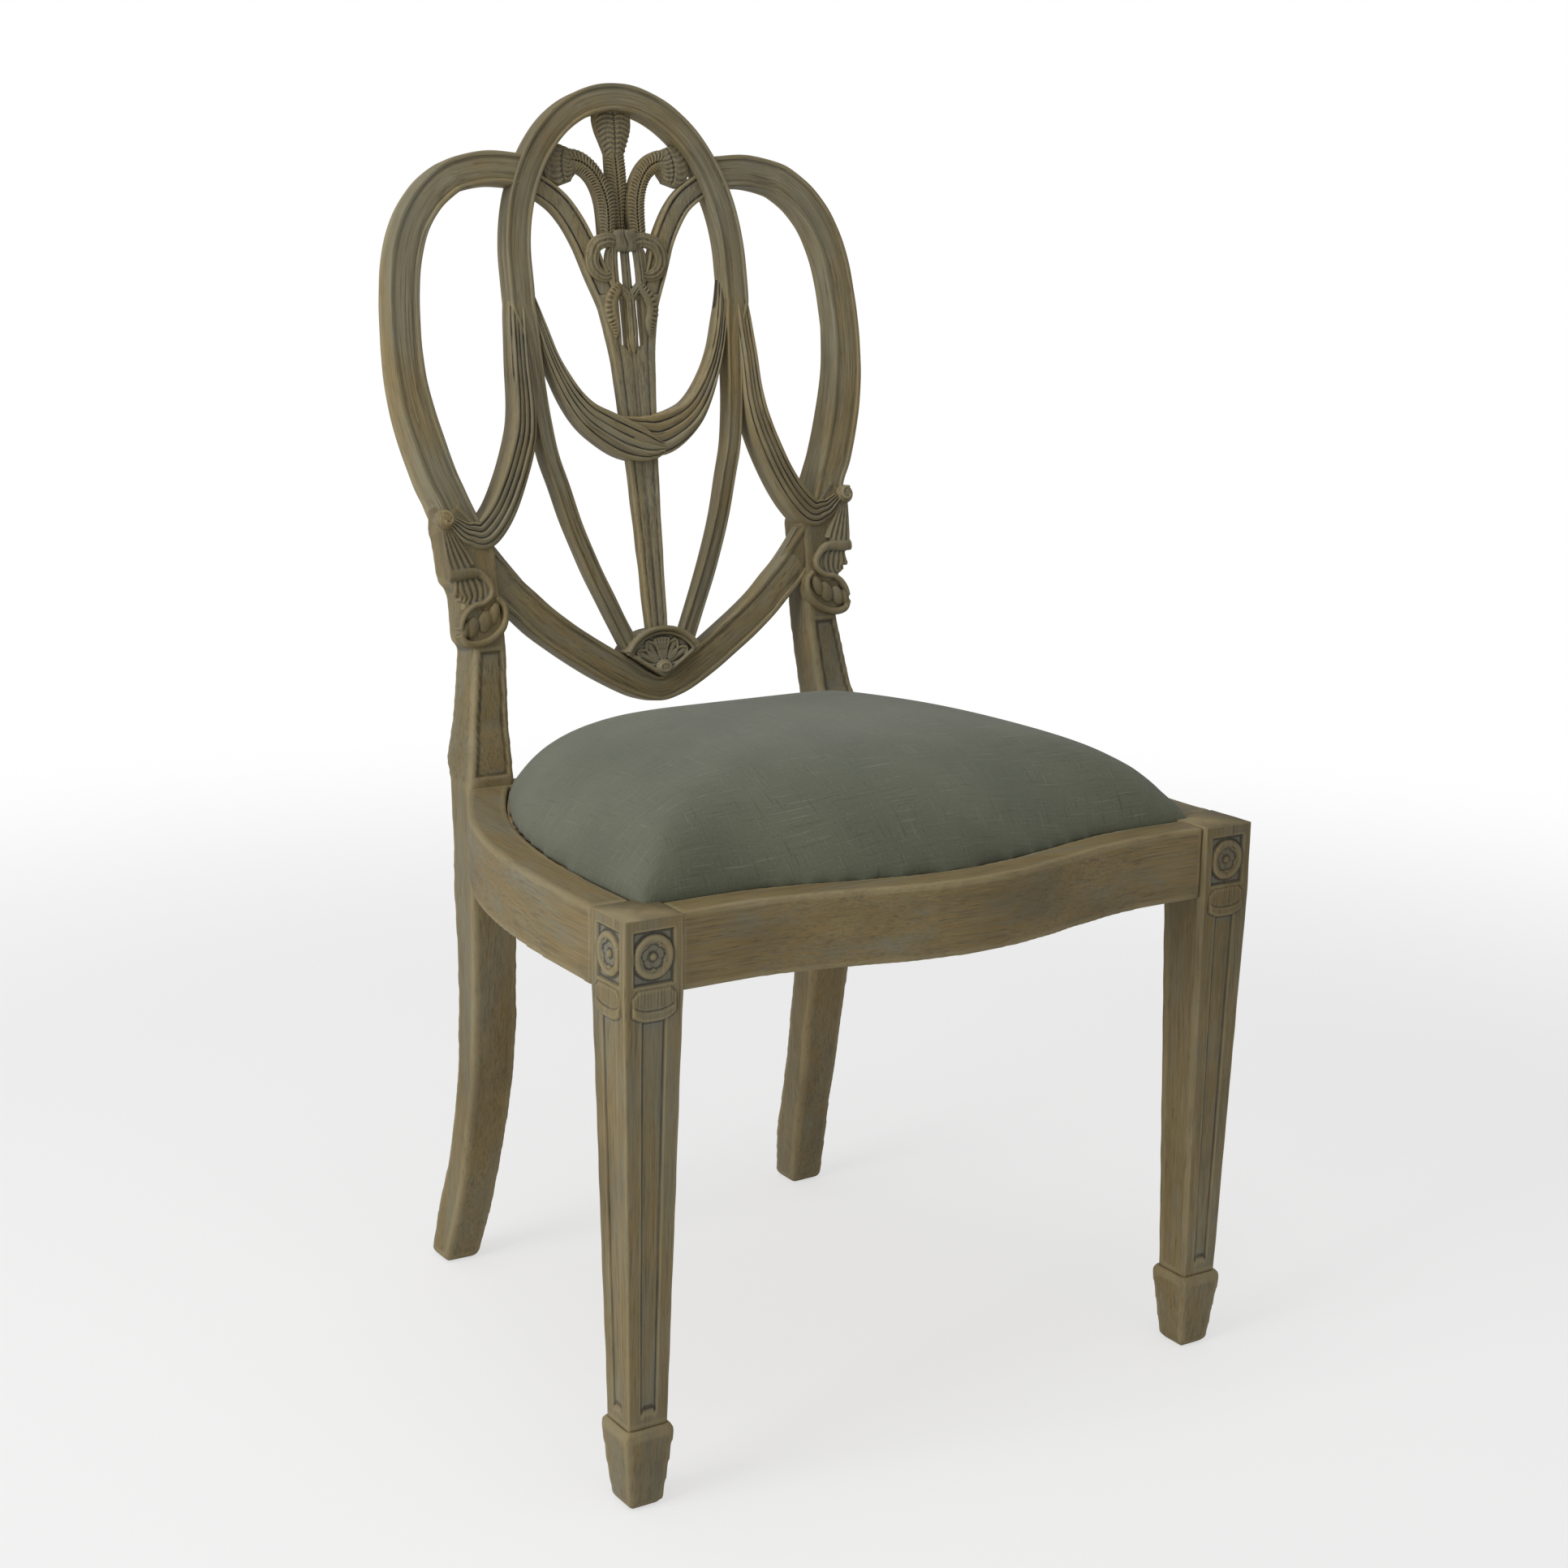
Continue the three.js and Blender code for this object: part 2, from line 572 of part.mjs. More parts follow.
function rearLegBody() {
  const reach = heelKick + 2 * rearLegDepth + jointV;
  const lower = frontSlab(rearLegFront(), seatDepth - overrun, reach);
  const upper = moved(frontSlab(rearLegOutline(), -overrun, 2 * rearLegDepth), back.matrix);
  return sideSlab(rearLegSide(), 0, frontWidth).intersect(lower.add(upper));
}

// Lines of the back. A row is a place across, a place up, and a width as a share of the given width.
function stationsFrom(table, count, width, faceAt, backAt) {
  return smooth(table, count).map(([x, v, share], i) => {
    const station = { x: backX(x), v: backV(v), width: share * width };
    station.face = faceAt(station, i / count);
    station.back = backAt(station, i / count);
    return station;
  });
}
const bothSides = (table) => [...table.slice(1).reverse().map(([x, ...rest]) => [-x, ...rest]), ...table];
const through = (stations) => stations.map((station) => (
  { ...station, face: station.face - 2 * overrun, back: station.back + 2 * overrun }
));
const hoopBack = hoopSetBack + hoopDepth;

// Hoop: straight sides that run up into half an ellipse.
const hoopHalfShare = 0.461;
const hoopCentreShare = 0.7127;
const hoopFootShare = 0.648;
const hoopSteps = 32;
function hoopStations() {
  const half = backX(hoopHalfShare);
  const middle = backV(hoopCentreShare);
  const rise = backV(1) - hoopWidth / 2 - middle;
  const arch = new THREE.EllipseCurve(0, middle, half, rise, 0, Math.PI)
    .getPoints(hoopSteps).map(({ x, y }) => [x, y]);
  const foot = backV(hoopFootShare);
  return [[half, foot], ...arch, [-half, foot]]
    .map(([x, v]) => ({ x, v, width: hoopWidth, face: hoopSetBack, back: hoopBack }));
}
function hoopTenon(grow) {
  const half = hoopTenonWidth / 2 + grow;
  const depth = hoopSetBack + (hoopDepth - hoopTenonDepth) / 2;
  const [x, foot] = [backX(hoopHalfShare), backV(hoopFootShare)];
  const low = [x - half, depth - grow, foot - fitGap - overrun];
  return box(low, [x + half, depth + hoopTenonDepth + grow, foot + hoopTenonLength + grow]);
}

// Ribs: the lower half of the oval, down to the patera.
const ribShares = [[hoopHalfShare, hoopFootShare, 1.64], [0.437, 0.589, 1.1], [0.426, 0.523, 1],
  [0.415, 0.466, 1], [0.396, 0.4125, 1], [0.365, 0.365, 1], [0.321, 0.299, 1], [0.255, 0.223, 1],
  [0.193, 0.162, 1], [0.11, 0.085, 1]];
function ribStations() {
  const face = (_, share) => hoopSetBack + ribDrop * share;
  return stationsFrom(ribShares, 18, ribWidth, face, () => hoopBack);
}

// Lobes: from the shoulder of the hoop, round the side of the shield, down to the top of the leg.
const lobeShares = [[0.4, 0.86, 1.05], [0.549, 0.863, 1.06], [0.668, 0.8535, 1.06], [0.714, 0.8455, 1.06],
  [0.807, 0.8135, 1.05], [0.878, 0.768, 1.06], [0.922, 0.709, 1.06], [0.944, 0.618, 1.06],
  [0.9425, 0.5505, 1.07], [0.918, 0.478, 1.13], [0.861, 0.391, 1.12], [0.824, 0.353, 1.04],
  [0.797, 0.323, 1.04]];
const thickenShares = [0.55, 0.88]; // over this part of its length the lobe grows as thick as the leg
const tuckShare = 0.3; // share of the lobe's length over which it eases back to the hoop
function lobeStations() {
  const face = (_, share) => lobeTuck * Math.max(0, 1 - share / tuckShare);
  const [from, to] = thickenShares;
  const thicker = (share) => Math.min(Math.max((share - from) / (to - from), 0), 1);
  const backAt = (_, share) => shieldDepth + (drapeDepth - shieldDepth) * thicker(share);
  return stationsFrom(lobeShares, 32, lobeWidth, face, backAt);
}
function lobeTenon(grow) {
  const half = hoopTenonWidth / 2 + grow;
  const depth = lobeTuck + (hoopDepth - hoopTenonDepth) / 2;
  const [x, v] = [backX(lobeShares[0][0]), backV(lobeShares[0][1])];
  const tip = depth + hoopTenonDepth + grow;
  return box([x - grow, depth - grow, v - half], [x + hoopTenonLength, tip, v + half]);
}
const legTenonShares = [0.822, 0.351];
function legTenon(grow) {
  const half = tenonThickness / 2 + grow;
  const depth = (shieldDepth - tenonThickness) / 2;
  const x = backX(legTenonShares[0]);
  const low = [x - half, depth - grow, jointV - overrun];
  return box(low, [x + half, depth + tenonThickness + grow, jointV + legTenonLength + grow]);
}
function lobe() {
  const joint = box([0, -overrun, 0], [frontWidth, 2 * drapeDepth, jointV + fitGap]);
  const body = cutBy(moulding(lobeStations(), beadSection), [joint, hoopThrough, legTenon(fitGap)]);
  return body.add(lobeTenon(0));
}

// Foot rail: a shallow V from leg to leg that carries the half patera.
const footRailShares = [[0, 0.02, 0.72], [0.075, 0.03, 0.83], [0.15, 0.0485, 0.966], [0.232, 0.0695, 1],
  [0.3165, 0.0935, 1], [0.402, 0.1185, 1], [0.486, 0.1465, 1], [0.55, 0.1725, 1], [0.612, 0.1975, 1],
  [0.725, 0.256, 1], [0.84, 0.32, 0.9]];
const footRailReachShare = 0.88; // share of half the width at which the dish runs out
function footRailStations(table, count) {
  const dip = (x) => footRailDip * Math.max(0, 1 - (x / backX(footRailReachShare)) ** 2);
  const face = ({ x }) => dip(x);
  return stationsFrom(bothSides(table), count, footRailWidth, face, ({ x }) => dip(x) + footRailDepth);
}
const pateraShare = 0.0555; // height of the boss
const petalCount = 7;
function pateraArch(shrink) {
  const radii = [pateraHalfWidth - shrink, pateraRise - shrink];
  const arch = new THREE.EllipseCurve(0, backV(pateraShare), ...radii, 0, Math.PI);
  const foot = [0, backV(pateraShare) - pateraDrop + shrink];
  return [...arch.getPoints(14).map(({ x, y }) => [x, y]), foot];
}
function patera() {
  const thickness = footRailDip + footRailDepth - pateraSetBack;
  const middle = backV(pateraShare);
  const solid = frontSlab(pateraArch(0), pateraSetBack, thickness);
  const sink = frontSlab(pateraArch(pateraBorder), pateraSetBack - overrun, pateraSink + overrun);
  const reach = pateraBossRadius + petalLength / 2;
  const petals = Array.from({ length: petalCount }, (_, i) => {
    const angle = Math.PI * (i + 1) / (petalCount + 1);
    const place = [reach * Math.cos(angle), pateraSetBack + pateraSink, middle + reach * Math.sin(angle)];
    return ball(place, [petalLength / 2, petalDepth, petalWidth], -angle);
  });
  const bossRadii = [pateraBossRadius, petalDepth, pateraBossRadius];
  const boss = ball([0, pateraSetBack + pateraSink, middle], bossRadii);
  return joined([solid.subtract(sink), ...petals, boss]);
}
const railTenonShare = 0.2164;
function footRailTenon(grow) {
  const depth = (shieldDepth - tenonThickness) / 2;
  const v = backV(railTenonShare);
  const inner = backX(neckInnerShares[neckInnerShares.length - 3][0]);
  const half = footRailWidth / 3 + grow;
  const low = [inner - fitGap - overrun, depth - grow, v - half];
  return box(low, [inner + rearTenonLength + grow, depth + tenonThickness + grow, v + half]);
}

// Splat: a reeded column that widens upwards, parts into two arms and meets the hoop.
const splatBodyShares = [[0, 0.1, 0.082], [0, 0.257, 0.104], [0, 0.392, 0.131], [0, 0.475, 0.156],
  [0, 0.523, 0.171], [0, 0.561, 0.185], [0, 0.599, 0.211], [0, 0.64, 0.25]];
const splatArmShares = [[0.07, 0.615, 0.92], [0.082, 0.65, 1], [0.123, 0.694, 1], [0.176, 0.754, 1],
  [0.255, 0.808, 1], [0.369, 0.842, 1], [0.42, 0.852, 1]];
const slotShares = [0.022, 0.58, 0.66]; // middle of a slot, its foot and its head
const splatFace = () => splatSetBack;
const splatBack = () => splatSetBack + splatDepth;
const splatBodyStations = () => stationsFrom(splatBodyShares, 9, 2 * backX(0.5), splatFace, splatBack);
const splatArmStations = () => stationsFrom(splatArmShares, 12, splatBandWidth, splatFace, splatBack);
function splatBlank(bodySection, armSection, grow) {
  const arm = moulding(splatArmStations(), armSection, grow);
  return joined([moulding(splatBodyStations(), bodySection, grow), arm, flipped(arm)]);
}
function splatTenons(grow) {
  const depth = splatSetBack + (splatDepth - hoopTenonDepth) / 2;
  const [x, v] = splatArmShares[5].map((share, axis) => (axis === 0 ? backX(share) : backV(share)));
  const half = hoopTenonWidth / 2 + grow;
  const side = (sign) => {
    const ends = [x - hoopTenonLength, x + grow].map((end) => sign * end).sort((a, b) => a - b);
    return box([ends[0], depth - grow, v - half], [ends[1], depth + hoopTenonDepth + grow, v + half]);
  };
  const top = backV(pateraShare) + pateraRise;
  const foot = box(
    [-half, depth - grow, top - hoopTenonLength - grow],
    [half, depth + hoopTenonDepth + grow, top + overrun],
  );
  return [side(1), side(-1), foot];
}
function splat() {
  const blank = splatBlank(reedSection(5, reedRelief), reedSection(3, reedRelief), 0);
  const half = slotWidth / 2;
  const slots = [1, -1].map((side) => box(
    [side * backX(slotShares[0]) - half, 0, backV(slotShares[1])],
    [side * backX(slotShares[0]) + half, 2 * shieldDepth, backV(slotShares[2])],
  ));
  return joined([cutBy(blank, [...slots, hoopThrough, pateraThrough]), ...splatTenons(0)]);
}

// Drapery: a swag hangs between the ribs, and one hangs outside each rib and is gathered up to a button.
const foldShares = [[-0.5, 0.8], [-0.4, 0], [-0.24, 0.9], [-0.08, 0], [0.1, 1], [0.26, 0], [0.4, 0.9],
  [0.5, 0.2]];
const foldSection = foldShares.map(([share, depth]) => [share, depth * foldRelief]);
const swagShares = [[0, 0.431, 1], [0.078, 0.435, 0.94], [0.158, 0.449, 0.76], [0.243, 0.477, 0.57],
  [0.313, 0.522, 0.4], [0.363, 0.572, 0.27], [0.397, 0.64, 0.12]];
const outerSwagShares = [[0.49, 0.64, 0.2], [0.494, 0.561, 0.5], [0.497, 0.485, 0.76], [0.519, 0.433, 0.88],
  [0.571, 0.3745, 0.92], [0.633, 0.325, 0.96], [0.6945, 0.295, 1], [0.765, 0.293, 0.8], [0.835, 0.312, 0.4]];
const outerSwagFace = (_, share) => swagSetBack - (swagSetBack + outerSwagProud) * Math.min(1, 2 * share);
const outerSwagStations = () => stationsFrom(
  outerSwagShares, 20, outerSwagWidth, outerSwagFace, () => hoopBack,
);
function centreSwag() {
  const face = (_, share) => swagSetBack + swagRecede * Math.abs(2 * share - 1);
  const stations = stationsFrom(bothSides(swagShares), 28, swagWidth, face, () => swagSetBack + swagDepth);
  const cutters = [hoopThrough, ribThrough, flipped(ribThrough), splatRoom];
  return cutBy(moulding(stations, foldSection), cutters);
}
function outerSwag() {
  const cutters = [hoopThrough, ribThrough, footRailRoom, rearLegRoom, lobeRoom, knotRoom];
  return cutBy(moulding(outerSwagStations(), foldSection), cutters);
}

// Button: a ball at the side of the leg, with a plug that holds it.
const knotShares = [0.866, 0.3176];
function knotBody(grow) {
  const [x, v] = [backX(knotShares[0]), backV(knotShares[1])];
  const radius = knotRadius + grow;
  return ball([x, -fitGap, v], [radius, radius, radius], 0, 10, 6);
}
function knotPlug(grow) {
  const [x, v] = [backX(knotShares[0]) - knotRadius / 2, backV(knotShares[1])];
  const [radius, length] = [knotPlugRadius + grow, knotPlugLength + grow];
  const plug = new THREE.CylinderGeometry(radius, radius, length, 10);
  return solidOf(plug.translate(x, length / 2 - knotRadius / 4, v));
}

// Ribbon drop carved on the leg: a belled skirt with a rim, and two folds of ribbon below it.
const skirtShares = [[0.82, 0.3, 0.7], [0.807, 0.257, 0.88], [0.802, 0.235, 0.95], [0.802, 0.233, 1],
  [0.8, 0.219, 1]];
const ribbonFoldShares = [[0.756, 0.181, 0.66, 0.3], [0.734, 0.1485, 0.62, 0.34]];
const ribbonTilt = THREE.MathUtils.degToRad(32);
function ribbonDrop() {
  const skirtLine = stationsFrom(skirtShares, 6, dropWidth, () => -dropProud, () => shieldDepth / 2);
  const skirt = moulding(skirtLine, reedSection(4, reedRelief));
  const folds = ribbonFoldShares.map(([x, v, length, height]) => ball(
    [backX(x), 0, backV(v)], [length * dropWidth, dropProud, height * dropWidth], ribbonTilt,
  ));
  return joined([skirt, ...folds]);
}
function carvedRearLeg() {
  const rail = moulding(footRailStations(footRailShares, 44).map((station) => (
    { ...station, face: -dropProud / 2, back: shieldDepth / 2 })), beadSection);
  const outline = frontSlab(rearLegOutline(), -drapeDepth, 2 * drapeDepth);
  const carving = ribbonDrop().add(rail).intersect(outline);
  const above = box([0, -2 * shieldDepth, jointV], [frontWidth, 2 * shieldDepth, backV(1)]);
  const relief = cutBy(carving, [above, swagRoom, knotRoom]);
  const leg = joined([rearLegBody(), moved(relief, back.matrix), moved(legTenon(0), back.matrix)]);
  const sockets = [footRailTenon(fitGap), knotPlug(fitGap)].map((solid) => moved(solid, back.matrix));
  return cutBy(leg, [...sockets, sideTenons(fitGap)[1], rearTenon(fitGap)]);
}

// Feathers: one upright and one curling over on each side, bound by the bow.
const plumeShares = [[0, 0.745, 0.46], [0, 0.79, 0.46], [0, 0.835, 0.52], [0, 0.872, 0.66], [0, 0.895, 0.9],
  [0, 0.925, 1], [0, 0.955, 0.85], [0, 0.975, 0.7]];
const sidePlumeShares = [[0.055, 0.745, 0.62], [0.07, 0.79, 0.7], [0.1, 0.835, 0.75], [0.15, 0.862, 0.82],
  [0.21, 0.87, 0.92], [0.29, 0.865, 1], [0.36, 0.85, 0.9]];
const plumeFootShare = 0.762;
const featherShares = [[-0.5, 0.8], [-0.36, 0.25], [-0.12, 0], [0, 0.35], [0.12, 0], [0.36, 0.25],
  [0.5, 0.8]];
const featherSection = featherShares.map(([share, depth]) => [share, depth * plumeRelief]);
function plumes() {
  const faceAt = () => plumeSetBack;
  const backAt = () => plumeSetBack + plumeDepth;
  const middle = moulding(stationsFrom(plumeShares, 12, plumeWidth, faceAt, backAt), featherSection);
  const sideLine = stationsFrom(sidePlumeShares, 12, sidePlumeWidth, faceAt, backAt);
  const side = moulding(sideLine, featherSection);
  const foot = box([-shieldWidth, -overrun, 0], [shieldWidth, 2 * shieldDepth, backV(plumeFootShare)]);
  const cutters = [foot, hoopThrough, armThrough, flipped(armThrough)];
  return cutBy(joined([middle, side, flipped(side)]), cutters);
}

// Bow: a binding, two loops, three strips and two crossed tails.
const bindingShare = 0.7425;
const bowLoopShares = [0.127, 0.719];
const stripFootShare = 0.66;
const crossTopShare = 0.666;
const bowStripShares = [-0.066, 0, 0.066];
const bowTailShares = [[0.04, 0.666, 1], [0.11, 0.59, 1.3]];
function bow() {
  const foot = backV(plumeFootShare) - fitGap;
  const bound = 2 * (foot - backV(bindingShare));
  const face = bowSetBack;
  const binding = box([-bindingHalfWidth, face, foot - bound], [bindingHalfWidth, face + bowDepth, foot]);
  const loops = [1, -1].map((side) => {
    const loop = new THREE.TorusGeometry(bowLoopRadius, bowLoopTube, 5, 12).rotateX(Math.PI / 2);
    const [x, v] = [side * backX(bowLoopShares[0]), backV(bowLoopShares[1])];
    return solidOf(loop.translate(x, face + bowLoopTube, v));
  });
  const strips = bowStripShares.map((share) => box(
    [backX(share) - bowStripWidth / 2, face + bowStripSetBack, backV(stripFootShare) - overrun],
    [backX(share) + bowStripWidth / 2, face + bowDepth, foot - bound / 2],
  ));
  const tails = [1, -1].map((side) => {
    const line = bowTailShares.map(([x, v, width]) => [side * x, v, width]);
    const front = face + bowStripSetBack;
    const stations = stationsFrom(line, 3, bowTailWidth, () => front, () => face + bowDepth);
    return moulding(stations, plainSection);
  });
  const crossHalf = backX(bowStripShares[2]) + bowStripWidth / 2;
  const crossTop = backV(crossTopShare);
  const cross = box([-crossHalf, face, crossTop - overrun], [crossHalf, face + bowDepth, crossTop]);
  return joined([binding, ...loops, ...strips, cross, ...tails]).subtract(splatRoom);
}

// Rear rail, between the rear legs.
const rearRailY = [seatDepth - rearRailFront, seatDepth - rearRailFront + rearRailThickness];
const innerRearFace = rearHalf - rearLegWidth;
function rearRailBody(grow) {
  const half = innerRearFace + grow;
  const low = [-half, rearRailY[0] - grow, railBottom - grow];
  return box(low, [half, rearRailY[1] + grow, seatHeight + grow]);
}
function rearTenon(grow) {
  const half = tenonThickness / 2 + grow;
  const y = seatDepth + rearTenonInset;
  const low = [innerRearFace - fitGap - overrun, y - half, tenonBottom - grow];
  return box(low, [innerRearFace + rearTenonLength + grow, y + half, tenonTop + grow]);
}

// Corners of the frame, where blocks are screwed to both rails and the seat is screwed down.
function sideInnerPoint(y) {
  const line = sideLine(sideRailThickness);
  const next = line.findIndex((point) => point[1] >= y);
  const [a, b] = [line[next - 1], line[next]];
  const share = (y - a[1]) / (b[1] - a[1]);
  const way = new THREE.Vector2(b[0] - a[0], b[1] - a[1]).normalize();
  return { x: a[0] + (b[0] - a[0]) * share, y, way };
}
const blockBottom = wellFloor - fitGap - blockHeight;
const corners = [frontRailBack, rearRailY[0]].map((y, end) => {
  const point = sideInnerPoint(y);
  const sign = end === 0 ? 1 : -1;
  return { x: point.x, y, along: point.way.clone().multiplyScalar(sign), sign };
});
const screwShare = 0.42; // place of a screw along the block's faces
const highScrew = 0.72;
const lowScrew = 0.34;

// A screw or its hole, pointing along a direction from a place on the face between block and rail.
function screwAt(place, direction, length, bite, grow, run) {
  const shaft = screwRadius + grow;
  const head = screwHeadRadius + grow;
  const start = bite - length;
  const profile = [[0, start - run], [head, start - run], [head, start + screwHead + grow],
    [shaft, start + screwHead + grow], [shaft, bite + grow], [0, bite + grow]];
  const turned = new THREE.LatheGeometry(profile.map(([r, h]) => new THREE.Vector2(r, h)), 6);
  const turn = new THREE.Quaternion().setFromUnitVectors(new THREE.Vector3(0, 1, 0), direction);
  return solidOf(turned.applyQuaternion(turn).translate(...place));
}
function cornerScrews(corner, grow, run) {
  const { x, y, along, sign } = corner;
  const reach = blockReach * screwShare;
  const outward = new THREE.Vector3(along.y * sign, -along.x * sign, 0);
  const heights = [highScrew, lowScrew].map((share) => blockBottom + blockHeight * share);
  const inset = [along.x - 1, along.y].map((value) => value * seatScrewInset);
  const seatPlace = [x + inset[0], y + inset[1], wellFloor];
  const seatLength = blockHeight + boardBite + fitGap;
  const railPlace = [x - reach, y, heights[0]];
  const sidePlace = [x + along.x * reach, y + along.y * reach, heights[1]];
  const screw = (place, direction) => screwAt(place, direction, blockScrewLength, screwBite, grow, run);
  return [
    screw(railPlace, new THREE.Vector3(0, -sign, 0)),
    screw(sidePlace, outward),
    screwAt(seatPlace, new THREE.Vector3(0, 0, 1), seatLength, boardBite, grow, run),
  ];
}
function cornerBlock(corner) {
  const { x, y, along, sign } = corner;
  const reach = blockReach;
  const outline = [[x + overrun, y - sign * overrun], [x - reach, y - sign * overrun], [x - reach, y],
    [x + along.x * reach, y + along.y * reach], [x + along.x * reach + overrun, y + along.y * reach]];
  const block = planSlab(outline, blockBottom, blockHeight);
  const rails = [frontRailBody(fitGap), sideRailBody(fitGap), rearRailBody(fitGap), frontLegBody(fitGap)];
  return cutBy(block, [...rails, ...cornerScrews(corner, fitGap, blockReach)]);
}
const allScrewHoles = corners.flatMap((corner) => cornerScrews(corner, fitGap, fitGap));
const allHolesBothSides = [...allScrewHoles, ...allScrewHoles.map(flipped)];

// Drop-in seat: a plywood board and a domed cushion over it.
const boardBottom = wellFloor + fitGap;
const cushionBottom = boardBottom + boardThickness + fitGap;
const cushionHeight = seatHeight + cushionCrown - cushionBottom;
const cushionShares = [[1, 0], [0.998, 0.06], [0.985, 0.15], [0.96, 0.25], [0.92, 0.38], [0.86, 0.53],
  [0.77, 0.69], [0.65, 0.83], [0.48, 0.94], [0.2, 1]];
const cushionCentreShare = 0.54;
function cushion() {
  const outline = seatPlan(0);
  const middle = (seatBack + frontEdge(0) + frontMargin) * cushionCentreShare;
  return loft(cushionShares.map(([share, rise]) => outline.map(([x, y]) => (
    new THREE.Vector3(x * share, middle + (y - middle) * share, cushionBottom + cushionHeight * rise)
  ))));
}
const seatBoard = () => cutBy(planSlab(seatPlan(0), boardBottom, boardThickness), allHolesBothSides);

// Room that the neighbours of a piece leave for it.
const hoopThrough = moulding(through(hoopStations()), plainSection, fitGap);
const ribThrough = moulding(through(ribStations()), plainSection, fitGap);
const armThrough = moulding(through(splatArmStations()), plainSection, fitGap);
const pateraThrough = frontSlab(pateraArch(-fitGap), -overrun, 2 * shieldDepth);
const splatRoom = splatBlank(plainSection, plainSection, fitGap);
const footRailLine = footRailStations(footRailShares.slice(0, -1), 30);
const footRailRoom = moulding(footRailLine, plainSection, fitGap);
const lobeRoom = moulding(lobeStations(), plainSection, fitGap);
const knotRoom = knotBody(fitGap);
const swagRoom = moulding(outerSwagStations(), plainSection, fitGap);
const rearLegShifts = [-fitGap, 0, fitGap].flatMap((x) => [[x, 0], [x, -fitGap]]);
const rearLegRoomInChair = joined(rearLegShifts.map(([x, y]) => (
  moved(rearLegBody(), new THREE.Matrix4().makeTranslation(x, y, 0)))));
const rearLegRoom = moved(rearLegRoomInChair, toBack);

// Seat frame
const rail = cutBy(joined([frontRailBody(0), frontTenon(0), flipped(frontTenon(0))]), [seatWell]);
addPair(chair, 'front_leg', carvedFrontLeg(), wood);
addPair(chair, 'spade_foot', spadeFoot(), wood);
addPair(chair, 'rear_leg', carvedRearLeg(), wood);
add(chair, 'front_seat_rail', cutBy(rail, allHolesBothSides), wood);
addPair(chair, 'side_seat_rail', cutBy(
  joined([sideRailBody(0), ...sideTenons(0)]), [seatWell, ...allScrewHoles],
), wood);
add(chair, 'rear_seat_rail', cutBy(
  rearRailBody(0),
  [seatWell, sideRailBody(fitGap), flipped(sideRailBody(fitGap)), rearLegRoomInChair,
    flipped(rearLegRoomInChair), ...allHolesBothSides],
).add(rearTenon(0)).add(flipped(rearTenon(0))), wood);
corners.forEach((corner, end) => {
  const place = ['front', 'rear'][end];
  addPair(chair, `${place}_corner_block`, cornerBlock(corner), innerWood);
  const [railScrew, sideScrew, seatScrew] = cornerScrews(corner, 0, 0);
  addPair(chair, `${place}_rail_screw`, railScrew, zinc);
  addPair(chair, `${place}_side_screw`, sideScrew, zinc);
  addPair(chair, `${place}_seat_screw`, seatScrew, zinc);
});
add(chair, 'seat_board', seatBoard(), innerWood);
add(chair, 'seat_cushion', cushion(), linen);

// Shield
const hoopSockets = [hoopTenon(fitGap), lobeTenon(fitGap)];
add(back, 'hoop', cutBy(
  moulding(hoopStations(), beadSection),
  [...hoopSockets, ...hoopSockets.map(flipped), ...splatTenons(fitGap)],
), carvedWood);
const rib = moulding(ribStations(), beadSection);
const hoopJoint = backV(hoopFootShare) - fitGap;
const belowHoop = box([0, -overrun, hoopJoint], [frontWidth, 2 * shieldDepth, backV(1)]);
const copedRib = cutBy(rib, [belowHoop, pateraThrough, footRailRoom]);
addPair(back, 'hoop_rib', copedRib.add(hoopTenon(0)), carvedWood);
addPair(back, 'shield_lobe', lobe(), carvedWood);
const footRailBlank = moulding(footRailLine, beadSection).add(patera());
const betweenLegs = cutBy(footRailBlank, [rearLegRoom, flipped(rearLegRoom), ...splatTenons(fitGap)]);
const footRail = joined([betweenLegs, footRailTenon(0), flipped(footRailTenon(0))]);
add(back, 'shield_foot_rail', footRail, carvedWood);
add(back, 'splat', splat(), carvedWood);
add(back, 'plumes', plumes(), carvedWood);
add(back, 'ribbon_bow', bow(), carvedWood);
add(back, 'centre_swag', centreSwag(), carvedWood);
addPair(back, 'outer_swag', outerSwag(), carvedWood);
const knot = cutBy(knotBody(0), [rearLegRoom, lobeRoom]);
addPair(back, 'swag_knot', knot.add(knotPlug(0)), carvedWood);

// Centre the chair over its footprint.
chair.updateMatrixWorld(true);
const extent = new THREE.Box3().setFromObject(chair, true);
chair.position.y = -(extent.min.y + extent.max.y) / 2;
chair.updateMatrixWorld(true);

export default chair;
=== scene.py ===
import math

import bmesh
import bpy
import numpy as np
from mathutils import Matrix, Vector


